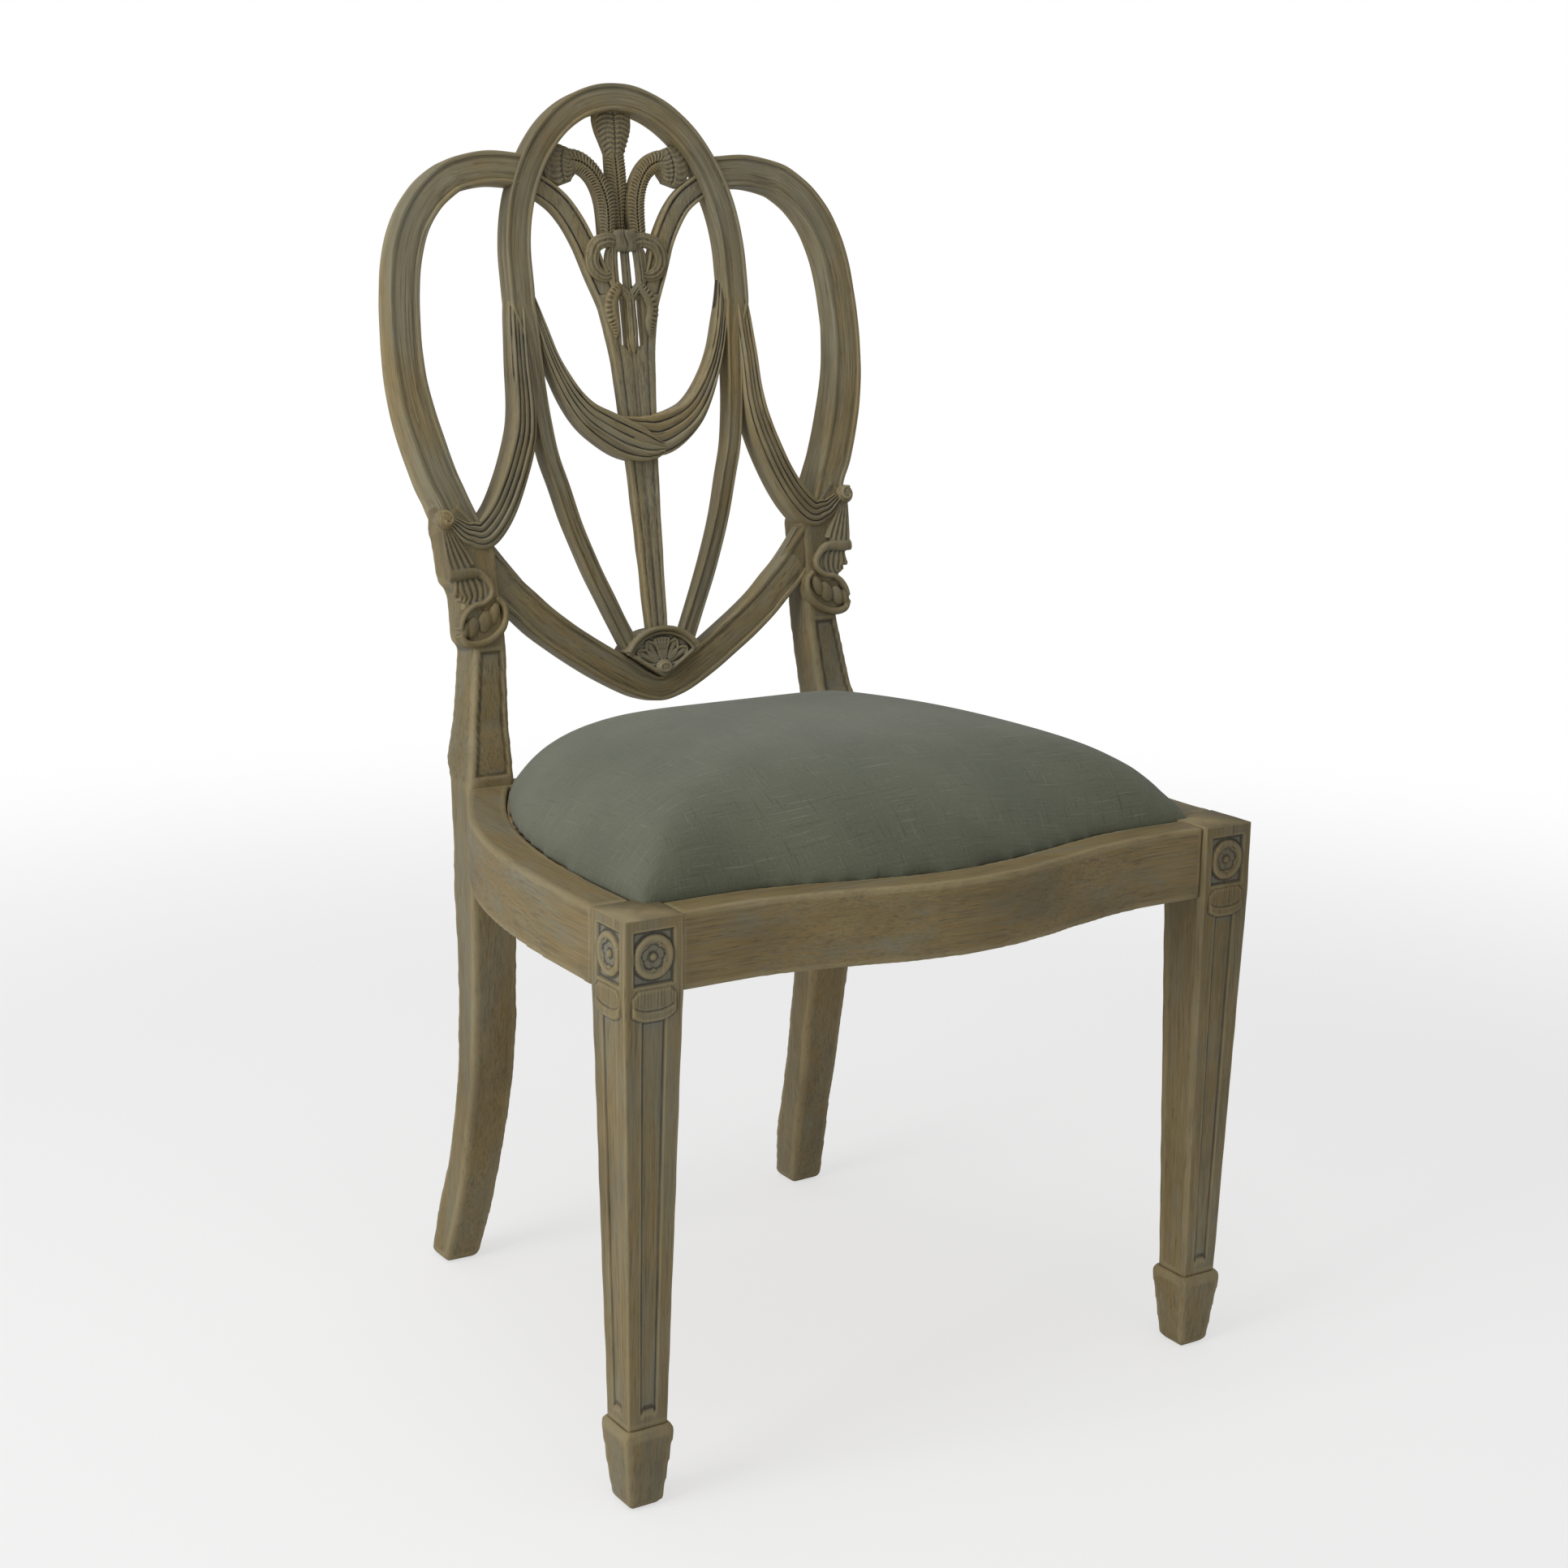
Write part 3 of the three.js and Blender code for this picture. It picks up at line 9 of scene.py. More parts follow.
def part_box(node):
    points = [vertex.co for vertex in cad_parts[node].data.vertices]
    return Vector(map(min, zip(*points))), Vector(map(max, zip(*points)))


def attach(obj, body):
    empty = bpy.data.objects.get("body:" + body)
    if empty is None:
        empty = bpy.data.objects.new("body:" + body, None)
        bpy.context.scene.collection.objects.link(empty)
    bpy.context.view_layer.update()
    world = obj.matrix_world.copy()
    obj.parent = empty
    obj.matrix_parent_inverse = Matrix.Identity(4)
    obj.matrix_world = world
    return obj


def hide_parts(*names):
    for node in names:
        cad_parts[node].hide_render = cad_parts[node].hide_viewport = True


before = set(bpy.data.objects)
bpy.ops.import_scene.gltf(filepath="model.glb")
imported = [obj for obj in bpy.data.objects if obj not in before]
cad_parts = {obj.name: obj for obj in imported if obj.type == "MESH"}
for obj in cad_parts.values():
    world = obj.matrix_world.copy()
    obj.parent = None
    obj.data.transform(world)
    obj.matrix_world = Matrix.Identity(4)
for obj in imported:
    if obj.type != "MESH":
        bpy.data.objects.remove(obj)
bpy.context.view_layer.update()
mm = 0.001
print("frame loaded:", len(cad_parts), "nodes")

# The plane of the back: across, behind its face, and up its slope.
back = {
    "rake": math.radians(10.3),
    "setBack": 417.4 * mm,     # foot of the slope, from the faces of the front legs
    "railFront": 392 * mm,     # face of the rear rail, from the same faces
    "seat": 446 * mm,
    "lift": 51.5 * mm,         # seat line to the foot of the shield
    "height": 526.5 * mm,      # of the shield, up the slope
    "half": 227.5 * mm,        # half the width over the lobes
}
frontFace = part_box("rear_seat_rail")[0].y - back["railFront"]
cosRake, sinRake = math.cos(back["rake"]), math.sin(back["rake"])
leaning = Matrix((
    (1, 0, 0, 0),
    (0, cosRake, sinRake, frontFace + back["setBack"]),
    (0, -sinRake, cosRake, back["seat"]),
    (0, 0, 0, 1),
))


def acrossAt(share):
    return share * back["half"]


def upAt(share):
    return back["lift"] + share * back["height"]


# Node trees.
def feed(tree, target, value):
    if isinstance(value, bpy.types.NodeSocket):
        tree.links.new(value, target)
    else:
        target.default_value = value


def put(tree, kind, inputs=None, **settings):
    node = tree.nodes.new(kind)
    for key, value in settings.items():
        setattr(node, key, value)
    for socket, value in (inputs or {}).items():
        feed(tree, node.inputs[socket], value)
    return node


def maths(tree, operation, a, b=0.0, clamp=False):
    return put(tree, "ShaderNodeMath", {0: a, 1: b}, operation=operation, use_clamp=clamp).outputs[0]


def blendOf(tree, amount, a, b):
    node = put(tree, "ShaderNodeMix", data_type="RGBA")
    for socket, value in (("Factor_Float", amount), ("A_Color", a), ("B_Color", b)):
        target = next(s for s in node.inputs if s.identifier == socket)
        feed(tree, target, (*value, 1) if isinstance(value, tuple) else value)
    return next(s for s in node.outputs if s.identifier == "Result_Color")


def spread(tree, value, low, high, toLow=0.0, toHigh=1.0, shape="SMOOTHSTEP"):
    node = put(tree, "ShaderNodeMapRange", {0: value, 1: low, 2: high, 3: toLow, 4: toHigh})
    node.interpolation_type = shape
    return node.outputs[0]


def stretched(tree, vector, scales, shift=(0, 0, 0)):
    return put(tree, "ShaderNodeMapping", {"Vector": vector, "Scale": scales, "Location": shift}).outputs[0]


def scaled(tree, vector, scale):
    return put(tree, "ShaderNodeVectorMath", {0: vector, "Scale": scale}, operation="SCALE").outputs[0]


def noiseOf(tree, vector, scale, detail, rough, twist=0.0):
    return put(tree, "ShaderNodeTexNoise", {
        "Vector": vector, "Scale": scale, "Detail": detail, "Roughness": rough, "Distortion": twist,
    }).outputs[0]


def linear(red, green, blue):  # a colour as it is read off a screen, in linear light
    return tuple(((c + 0.055) / 1.055) ** 2.4 if c > 0.04045 else c / 12.92 for c in
                 (red / 255, green / 255, blue / 255))


def finishFrom(name, draw):  # draw(tree) gives what goes into each input of the surface
    material = bpy.data.materials.new(name)
    material.use_nodes = True
    tree = material.node_tree
    for socket, value in draw(tree).items():
        feed(tree, tree.nodes["Principled BSDF"].inputs[socket], value)
    return material


def bumpOf(tree, height, strength, distance):
    return put(tree, "ShaderNodeBump", {
        "Height": height, "Strength": strength, "Distance": distance}).outputs[0]


# The finish of the wood.
washedLook = {
    "wash": linear(126, 120, 97),       # grey wash over the wood
    "tan": linear(130, 114, 76),        # brown wood where the wash is thin
    "honey": linear(141, 112, 62),
    "blue": linear(122, 125, 117),      # grey-blue left in the hollows
    "shade": linear(82, 72, 52),
    "dirtAndShade": linear(42, 34, 24),         # dark glaze in the grooves, with painted shade there too; also the dark of pores and specks
    "edge": linear(152, 138, 103),      # rubbed edges
    "pale": linear(150, 146, 126),      # wash caught in the grain
    "roughness": 0.56,
}


def washedWood(tree, warm, grooves, streaks, level):
    look = washedLook
    grain = put(tree, "ShaderNodeAttribute", attribute_name="grain").outputs["Vector"]
    fine = put(tree, "ShaderNodeAttribute", attribute_name="fine").outputs["Fac"]
    broad = put(tree, "ShaderNodeAttribute", attribute_name="broad").outputs["Fac"]
    drift = noiseOf(tree, stretched(tree, grain, (6, 22, 22)), 1, 4, 0.6)
    patches = noiseOf(tree, stretched(tree, grain, (14, 48, 48), (3, 1, 7)), 1, 5, 0.65)
    figure = noiseOf(tree, stretched(tree, grain, (9, 360, 360), (1, 5, 2)), 1, 5, 0.6, 0.3)
    lines = noiseOf(tree, stretched(tree, grain, (17, 720, 720), (4, 2, 6)), 1, 4, 0.6)
    fibres = noiseOf(tree, stretched(tree, grain, (45, 1500, 1500)), 1, 3, 0.6)
    pores = noiseOf(tree, stretched(tree, grain, (60, 1100, 1100), (9, 4, 1)), 1, 2, 0.5)
    specks = noiseOf(tree, grain, 420, 2, 0.5)
    smoke = noiseOf(tree, stretched(tree, grain, (5, 13, 13), (8, 2, 5)), 1, 4, 0.6)

    def times(a, b):
        return maths(tree, "MULTIPLY", a, b)

    # brown wood under a wash that lies in long soft clouds
    bare = spread(tree, drift, 0.46 - 0.2 * warm, 0.76 - 0.2 * warm)
    colour = blendOf(tree, bare, look["wash"], look["tan"])
    colour = blendOf(tree, times(spread(tree, figure, 0.46, 0.70), 0.6 * warm), colour, look["honey"])
    colour = blendOf(tree, times(spread(tree, patches, 0.54, 0.74), 0.45), colour, look["blue"])
    zone = spread(tree, patches, 0.30, 0.62, 1.0, 0.3)
    colour = blendOf(tree, times(spread(tree, figure, 0.50, 0.30), 0.35 * streaks), colour, look["shade"])
    colour = blendOf(tree, times(times(spread(tree, lines, 0.45, 0.34), zone), 0.5 * streaks), colour,
                     look["pale"])
    colour = blendOf(tree, times(times(spread(tree, lines, 0.53, 0.64), zone), 0.8 * streaks), colour,
                     look["shade"])
    # hollows keep the wash, edges are rubbed through, grooves keep the glaze and are darkened further with
    # painted shade
    hollow = times(spread(tree, broad, -0.04, -0.6), spread(tree, patches, 0.25, 0.6, 0.4, 1.0))
    colour = blendOf(tree, times(hollow, 0.6), colour, look["blue"])
    rubbed = times(spread(tree, fine, 0.10, 0.85), spread(tree, patches, 0.25, 0.6, 0.3, 1.0))
    colour = blendOf(tree, times(rubbed, 0.65), colour, look["edge"])
    broken = spread(tree, maths(tree, "ADD", patches, times(lines, 0.5)), 0.5, 0.9, 0.55, 1.0)
    # painted shade: the grooves are darkened where shade would fall in them, on top of the real glaze
    groove = times(spread(tree, fine, -0.12, -0.85), broken)
    colour = blendOf(tree, maths(tree, "MULTIPLY", groove, 0.92 * grooves, True), colour, look["dirtAndShade"])
    dash = times(spread(tree, pores, 0.62, 0.74), spread(tree, drift, 0.35, 0.6))
    colour = blendOf(tree, times(dash, 0.6 * streaks), colour, look["dirtAndShade"])
    colour = blendOf(tree, times(spread(tree, specks, 0.69, 0.77), 0.3), colour, look["dirtAndShade"])
    tone = times(spread(tree, fibres, 0.25, 0.75, 0.87 * level, 1.12 * level, "LINEAR"),
                 spread(tree, smoke, 0.42, 0.66, 1.06, 0.78))
    height = maths(tree, "ADD", times(fibres, 0.5), times(dash, -1.2))
    height = maths(tree, "ADD", height, times(lines, -0.5))
    return {
        "Base Color": scaled(tree, colour, tone),
        "Roughness": spread(tree, patches, 0.3, 0.7, look["roughness"] - 0.08, look["roughness"] + 0.12),
        "Specular IOR Level": 0.35,
        "Normal": bumpOf(tree, height, 0.3, 0.5 * mm),
    }


carvedFinish = finishFrom("washed carved wood", lambda tree: washedWood(
    tree, warm=0.4, grooves=1.15, streaks=1.15, level=1.12))
frameFinish = finishFrom("washed seat frame wood", lambda tree: washedWood(
    tree, warm=0.8, grooves=0.9, streaks=0.75, level=0.98))
legFinish = finishFrom("washed leg wood", lambda tree: washedWood(
    tree, warm=0.65, grooves=0.7, streaks=0.8, level=0.98))
print("wood finishes made")


# Meshes.
def shownObject(name, mesh):
    piece = bpy.data.objects.new(name.replace(" ", "_"), mesh)
    bpy.context.scene.collection.objects.link(piece)
    return piece


def meshFrom(name, points, faces):
    mesh = bpy.data.meshes.new(name)
    mesh.from_pydata([tuple(p) for p in points], [], [tuple(int(i) for i in f) for f in faces])
    mesh.update()
    return mesh


def evaluated(piece):  # the mesh with its modifiers applied, which then leave the piece
    graph = bpy.context.evaluated_depsgraph_get()
    graph.update()
    mesh = bpy.data.meshes.new_from_object(piece.evaluated_get(graph), preserve_all_data_layers=True,
                                           depsgraph=graph)
    piece.modifiers.clear()
    piece.data = mesh
    return piece


def pointsOf(mesh):
    points = np.empty(len(mesh.vertices) * 3)
    mesh.vertices.foreach_get("co", points)
    return points.reshape(-1, 3)


def normalsOf(mesh):
    normals = np.empty(len(mesh.vertices) * 3)
    mesh.vertex_normals.foreach_get("vector", normals)
    return normals.reshape(-1, 3)


def setPoints(mesh, points):
    mesh.vertices.foreach_set("co", np.ascontiguousarray(points, dtype=np.float32).ravel())
    mesh.update()


def edgesOf(mesh):
    edges = np.empty(len(mesh.edges) * 2, dtype=np.int32)
    mesh.edges.foreach_get("vertices", edges)
    return edges.reshape(-1, 2)


def averaged(values, edges, rounds):
    count = len(values)
    degree = np.bincount(edges.ravel(), minlength=count)[:, None] + 1.0
    for _ in range(rounds):
        total = values.copy()
        for axis in range(values.shape[1]):
            total[:, axis] += np.bincount(edges[:, 0], values[edges[:, 1], axis], count)
            total[:, axis] += np.bincount(edges[:, 1], values[edges[:, 0], axis], count)
        values = total / degree
    return values


def store(mesh, name, values):
    kind, field = ("FLOAT_VECTOR", "vector") if values.ndim == 2 else ("FLOAT", "value")
    if name in mesh.attributes:
        mesh.attributes.remove(mesh.attributes[name])
    layer = mesh.attributes.new(name, kind, "POINT")
    layer.data.foreach_set(field, np.ascontiguousarray(values, dtype=np.float32).ravel())


def stored(mesh, name, width=1):
    values = np.empty(len(mesh.vertices) * width)
    mesh.attributes[name].data.foreach_get("vector" if width == 3 else "value", values)
    return values.reshape(-1, 3) if width == 3 else values


relief = {"fineRounds": 3, "broadRounds": 22, "fineEven": 1, "broadEven": 4,
          "fineDepth": 0.13 * mm, "broadDepth": 0.7 * mm}


def markRelief(mesh):  # how far each point stands proud of what lies round it, near and further off
    points, normals, edges = pointsOf(mesh), normalsOf(mesh), edgesOf(mesh)
    near = averaged(points, edges, relief["fineRounds"])
    far = averaged(near, edges, relief["broadRounds"])
    fine = ((points - near) * normals).sum(1) / relief["fineDepth"]
    broad = ((points - far) * normals).sum(1) / relief["broadDepth"]
    store(mesh, "fine", np.clip(averaged(fine[:, None], edges, relief["fineEven"])[:, 0], -1, 1))
    store(mesh, "broad", np.clip(averaged(broad[:, None], edges, relief["broadEven"])[:, 0], -1, 1))


up, right, deep = (0, 0, 1), (1, 0, 0), (0, 1, 0)
grainStep = np.array([1.7, 0.9, 2.3])  # from one board of wood to the next, so that no two look alike
twinStep = np.array([1.3, 0.7, 1.9])


def markGrain(mesh, along, across, seed):  # object space turned so that the first axis follows the grain
    points = pointsOf(mesh)
    along, across = Vector(along).normalized(), Vector(across).normalized()
    basis = np.array([along, across, along.cross(across)])
    store(mesh, "grain", points @ basis.T + grainStep * seed)


def outward(mesh):
    shape = bmesh.new()
    shape.from_mesh(mesh)
    bmesh.ops.recalc_face_normals(shape, faces=shape.faces)
    shape.to_mesh(mesh)
    shape.free()


waves = {"amount": 0.1 * mm, "lengths": (24, 60), "count": 12}


def handWorked(mesh, seed):  # faint unevenness left by hand tools
    random = np.random.default_rng(seed)
    points, normals = pointsOf(mesh), normalsOf(mesh)
    total = np.zeros(len(points))
    for _ in range(waves["count"]):
        way = random.normal(size=3)
        way /= np.linalg.norm(way)
        length = random.uniform(*waves["lengths"]) * mm
        total += np.sin(points @ way * (2 * math.pi / length) + random.uniform(0, 6.28))
    total *= waves["amount"] / math.sqrt(waves["count"] / 2)
    setPoints(mesh, points + normals * total[:, None])


def remeshed(piece, voxel, softening):
    modifier = piece.modifiers.new("one skin", "REMESH")
    modifier.mode = "VOXEL"
    modifier.voxel_size = voxel
    evaluated(piece)
    mesh = piece.data
    setPoints(mesh, averaged(pointsOf(mesh), edgesOf(mesh), softening))
    return piece


def joinedShape(meshes):
    shape = bmesh.new()
    for mesh in meshes:
        shape.from_mesh(mesh)
    bmesh.ops.remove_doubles(shape, verts=shape.verts, dist=0.01 * mm)
    mesh = bpy.data.meshes.new("joined")
    shape.to_mesh(mesh)
    shape.free()
    return mesh


def copyOf(node):
    return joinedShape([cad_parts[node].data])


def dress(piece, material, nodes):
    mesh = piece.data
    mesh.materials.clear()
    mesh.materials.append(material)
    mesh.polygons.foreach_set("use_smooth", np.ones(len(mesh.polygons), dtype=bool))
    mesh.update()
    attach(piece, "root")
    if nodes:
        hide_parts(*nodes)
    return piece


def mirrored(mesh):
    twin = mesh.copy()
    setPoints(twin, pointsOf(twin) * np.array([-1, 1, 1]))
    twin.flip_normals()
    return twin


def mirrorPiece(piece, name, seed):
    mesh = mirrored(piece.data)
    store(mesh, "grain", stored(mesh, "grain", 3) + twinStep * seed)
    return shownObject(name, mesh)


def leftTwin(piece, name, seed, finish, node):
    return dress(mirrorPiece(piece, name, seed), finish, [node])


# Lines and sections of the back.
def smoothRows(rows, perSpan=24):  # centripetal curve through the rows; the last column counts the rows
    knots = np.array(rows, float)
    ends = np.vstack([2 * knots[0] - knots[1], knots, 2 * knots[-1] - knots[-2]])
    pieces = []
    share = np.linspace(0, 1, perSpan, endpoint=False)[:, None]
    for i in range(len(knots) - 1):
        p0, p1, p2, p3 = ends[i:i + 4]
        d0, d1, d2 = (max(np.linalg.norm(b - a) ** 0.5, 1e-9) for a, b in ((p0, p1), (p1, p2), (p2, p3)))
        t1 = ((p1 - p0) / d0 - (p2 - p0) / (d0 + d1) + (p2 - p1) / d1) * d1
        t2 = ((p2 - p1) / d1 - (p3 - p1) / (d1 + d2) + (p3 - p2) / d2) * d1
        curve = ((2 * p1 - 2 * p2 + t1 + t2) * share ** 3 + (3 * p2 - 3 * p1 - 2 * t1 - t2) * share ** 2
                 + t1 * share + p1)
        pieces.append(np.hstack([curve, (i + share) / (len(knots) - 1)]))
    pieces.append(np.append(knots[-1], 1.0)[None, :])
    return np.vstack(pieces)


def evenly(columns, step):  # the columns of a line read at even steps along it, with its way at each
    length = np.concatenate([[0], np.cumsum(np.hypot(np.diff(columns["x"]), np.diff(columns["v"])))])
    at = np.linspace(0, length[-1], max(int(length[-1] / step), 2) + 1)
    run = {key: np.interp(at, length, values) for key, values in columns.items()}
    ways = np.stack([np.gradient(run["x"]), np.gradient(run["v"])], 1)
    run["along"], run["way"] = at, ways / np.linalg.norm(ways, axis=1)[:, None]
    return run


def line(rows, width, faceAt, backAt, step=1.4 * mm, smoothed=True):
    # rows: shares across, up, of the width
    table = smoothRows(rows) if smoothed else np.hstack([rows, np.linspace(0, 1, len(rows))[:, None]])
    run = evenly({"x": acrossAt(table[:, 0]), "v": upAt(table[:, 1]), "width": table[:, 2],
                  "share": table[:, 3]}, step)
    run["width"] *= width
    run["face"] = np.array([faceAt(a, s) for a, s in zip(run["x"], run["share"])])
    run["back"] = np.array([backAt(a, s) for a, s in zip(run["x"], run["share"])])
    return run


def bothSides(rows):
    return [[-x, *rest] for x, *rest in rows[:0:-1]] + [list(row) for row in rows]


def closedSection(facePoints, backRound=2.2):
    # facePoints: share across and depth behind the face in mm; the loop goes on round the back
    side = [(facePoints[-1][0], 0, s) for s in (0.35, 0.6, 0.8)]
    edge = facePoints[-1][0]
    corner = [(edge, -backRound, 1), (edge * 0.96, -backRound * 0.35, 1), (edge * 0.88, 0, 1),
              (edge * 0.5, 0, 1), (0, 0, 1)]
    right = side + corner
    left = [(-share, depth, where) for share, depth, where in right[-2::-1]]
    return [(share, depth, 0) for share, depth in facePoints] + right + left


def mirroredSection(points):
    return points + [(-share, depth) for share, depth in points[-2::-1]]


def smoothSection(points):
    return [(a, b) for a, b, _ in smoothRows(points, 4)]


def flatSection(count, backRound):
    return closedSection([(s, 0) for s in np.linspace(-0.5, 0.5, count)], backRound)


beadPoints = [(-0.5, 3.0), (-0.497, 1.7), (-0.475, 0.6), (-0.43, 0.05), (-0.385, 0.15), (-0.352, 0.9),
              (-0.336, 1.9), (-0.318, 2.0), (-0.27, 1.6), (-0.15, 1.15), (0, 1.0)]
beadSection = closedSection(smoothSection(mirroredSection(beadPoints)))


def sectionObject(name, section):
    mesh = bpy.data.meshes.new(name)
    count = len(section)
    mesh.from_pydata([(share, depth * 0.01, where) for share, depth, where in section],
                     [(i, (i + 1) % count) for i in range(count)], [])
    for label, column in (("acrossShare", 0), ("relief", 1), ("depthShare", 2)):
        store(mesh, label, np.array([row[column] for row in section], float))
    return shownObject(name, mesh)


# A moulding drawn along a line, as a node tree.
def groupTree(name, inputs, build):  # build(tree, what is given) gives the geometry that takes the finish
    tree = bpy.data.node_groups.new(name, "GeometryNodeTree")
    for label, kind in inputs.items():
        tree.interface.new_socket(label, in_out="INPUT", socket_type="NodeSocket" + kind)
    tree.interface.new_socket("Made", in_out="OUTPUT", socket_type="NodeSocketGeometry")
    given = put(tree, "NodeGroupInput").outputs
    whole = put(tree, "GeometryNodeRealizeInstances", {"Geometry": build(tree, given)}).outputs[0]
    done = put(tree, "GeometryNodeSetMaterial", {"Geometry": whole, "Material": given["Finish"]}).outputs[0]
    put(tree, "NodeGroupOutput", {"Made": done})
    return tree


def named(tree, name, kind="FLOAT"):
    return put(tree, "GeometryNodeInputNamedAttribute", {"Name": name}, data_type=kind).outputs[0]


def mouldingAlong(tree, given):
    route = put(tree, "GeometryNodeMeshToCurve", {"Mesh": given["Line"]}).outputs[0]
    drawn = put(tree, "GeometryNodeObjectInfo", {"Object": given["Section"]}).outputs["Geometry"]
    profile = put(tree, "GeometryNodeMeshToCurve", {"Mesh": drawn}).outputs[0]
    skin = put(tree, "GeometryNodeCurveToMesh", {
        "Curve": route, "Profile Curve": profile, "Fill Caps": True}).outputs[0]
    sideways = maths(tree, "MULTIPLY", named(tree, "acrossShare"), named(tree, "width"))
    front = named(tree, "faceDepth")
    thick = maths(tree, "SUBTRACT", named(tree, "backDepth"), front)
    depth = maths(tree, "ADD", front, maths(tree, "MULTIPLY", thick, named(tree, "depthShare")))
    depth = maths(tree, "ADD", depth, maths(tree, "MULTIPLY", named(tree, "relief"), given["Relief"]))
    offset = scaled(tree, named(tree, "across", "FLOAT_VECTOR"), sideways)
    inward = put(tree, "ShaderNodeCombineXYZ", {"Y": depth}).outputs[0]
    place = named(tree, "place", "FLOAT_VECTOR")
    for step in (offset, inward):
        place = put(tree, "ShaderNodeVectorMath", {0: place, 1: step}).outputs[0]
    return put(tree, "GeometryNodeSetPosition", {"Geometry": skin, "Position": place}).outputs[0]


mouldings = groupTree("moulding along a line", {
    "Line": "Geometry", "Section": "Object", "Relief": "Float", "Finish": "Material"}, mouldingAlong)


def setInputs(modifier, values):
    for item in modifier.node_group.interface.items_tree:
        if item.item_type == "SOCKET" and item.in_out == "INPUT" and item.name in values:
            modifier[item.identifier] = values[item.name]


def moulded(name, run, section, finish, seed=0):
    count = len(run["x"])
    mesh = bpy.data.meshes.new(name)
    places = np.stack([run["x"], np.zeros(count), run["v"]], 1)
    mesh.from_pydata([tuple(p) for p in places], [(i, i + 1) for i in range(count - 1)], [])
    store(mesh, "place", places)
    store(mesh, "across", np.stack([run["way"][:, 1], np.zeros(count), -run["way"][:, 0]], 1))
    for label, key in (("width", "width"), ("faceDepth", "face"), ("backDepth", "back"), ("along", "along")):
        store(mesh, label, run[key])
    piece = shownObject(name, mesh)
    modifier = piece.modifiers.new("moulding", "NODES")
    modifier.node_group = mouldings
    setInputs(modifier, {"Section": section, "Relief": mm, "Finish": finish})
    evaluated(piece)
    mesh = piece.data
    shares, widths = stored(mesh, "acrossShare"), stored(mesh, "width")
    depths = pointsOf(mesh)[:, 1]
    grain = np.stack([stored(mesh, "along"), shares * widths, depths], 1)
    store(mesh, "grain", grain + grainStep * seed)
    for label in ("place", "across", "width", "faceDepth", "backDepth", "along", "acrossShare", "relief",
                  "depthShare"):
        if label in mesh.attributes:
            mesh.attributes.remove(mesh.attributes[label])
    outward(mesh)
    return piece


def ringFaces(count, around, closed=False):  # from each ring of points to the next, and a cap at each end
    faces = []
    for ring in range(count if closed else count - 1):
        low, high = ring * around, ((ring + 1) % count) * around
        for i in range(around):
            j = (i + 1) % around
            faces.append((low + i, low + j, high + j, high + i))
    if not closed:
        faces += [tuple(range(around)), tuple(range((count - 1) * around, count * around))]
    return faces


def draped(run, section, reliefAt, seed):
    # a moulding whose relief changes along its length: reliefAt(share across, share along) in mm
    shares = np.array([row[0] for row in section])
    fixed = np.array([row[1] for row in section])
    where = np.array([row[2] for row in section])
    rings, grains = [], []
    for i in range(len(run["x"])):
        across = np.array([run["way"][i, 1], -run["way"][i, 0]])
        onFace = where == 0
        lift = np.where(onFace, reliefAt(shares, run["share"][i]), fixed) * mm
        depth = run["face"][i] + (run["back"][i] - run["face"][i]) * where + lift
        side = shares * run["width"][i]
        rings.append(np.stack([run["x"][i] + across[0] * side, depth, run["v"][i] + across[1] * side], 1))
        grains.append(np.stack([np.full(len(side), run["along"][i]), side, depth], 1))
    mesh = meshFrom("drape", np.vstack(rings), ringFaces(len(rings), len(section)))
    store(mesh, "grain", np.vstack(grains) + grainStep * seed)
    outward(mesh)
    return mesh


def cutMesh(mesh, point, normal):  # keeps what lies behind the plane, and closes the cut
    shape = bmesh.new()
    shape.from_mesh(mesh)
    parts = shape.verts[:] + shape.edges[:] + shape.faces[:]
    cut = bmesh.ops.bisect_plane(shape, geom=parts, plane_co=point, plane_no=normal, clear_outer=True)
    edges = [part for part in cut["geom_cut"] if isinstance(part, bmesh.types.BMEdge)]
    if edges:
        bmesh.ops.holes_fill(shape, edges=edges, sides=0)
    bmesh.ops.recalc_face_normals(shape, faces=shape.faces)
    shape.to_mesh(mesh)
    shape.free()


def placed(piece):  # from the plane of the back to its place on the chair
    piece.data.transform(leaning)
    return piece


def carved(piece, seed):
    handWorked(piece.data, seed)
    markRelief(piece.data)
    return piece


def smallCarving(piece, seed, nodes):
    placed(piece)
    markGrain(piece.data, up, right, seed)
    markRelief(piece.data)
    return dress(piece, carvedFinish, nodes)


# Hoop, ribs, lobes and foot rail.
shield = {
    "hoopWidth": 23 * mm, "hoopFace": 2.5 * mm, "hoopBack": 22.5 * mm,
    "hoopHalf": 0.461, "hoopCentre": 0.7127, "hoopFoot": 0.648,
    "ribWidth": 14 * mm, "ribDrop": 6.5 * mm,
    "lobeWidth": 26 * mm, "depth": 24 * mm, "legDepth": 36 * mm,
    "thickenFrom": 0.55, "thickenTo": 0.88, "lobeTuck": 4 * mm, "tuckShare": 0.3,
    "railWidth": 29 * mm, "railDepth": 20 * mm, "railDip": 11 * mm, "railReach": 0.79,
    "jointUp": 0.307, "lobeProud": 0.9 * mm, "proudFrom": 0.86, "proudOver": 0.1,
}
ribRows = [[0.461, 0.648, 1.64], [0.437, 0.589, 1.1], [0.426, 0.523, 1], [0.415, 0.466, 1],
           [0.396, 0.4125, 1], [0.365, 0.365, 1], [0.321, 0.299, 1], [0.255, 0.223, 1],
           [0.193, 0.162, 1], [0.11, 0.085, 1]]
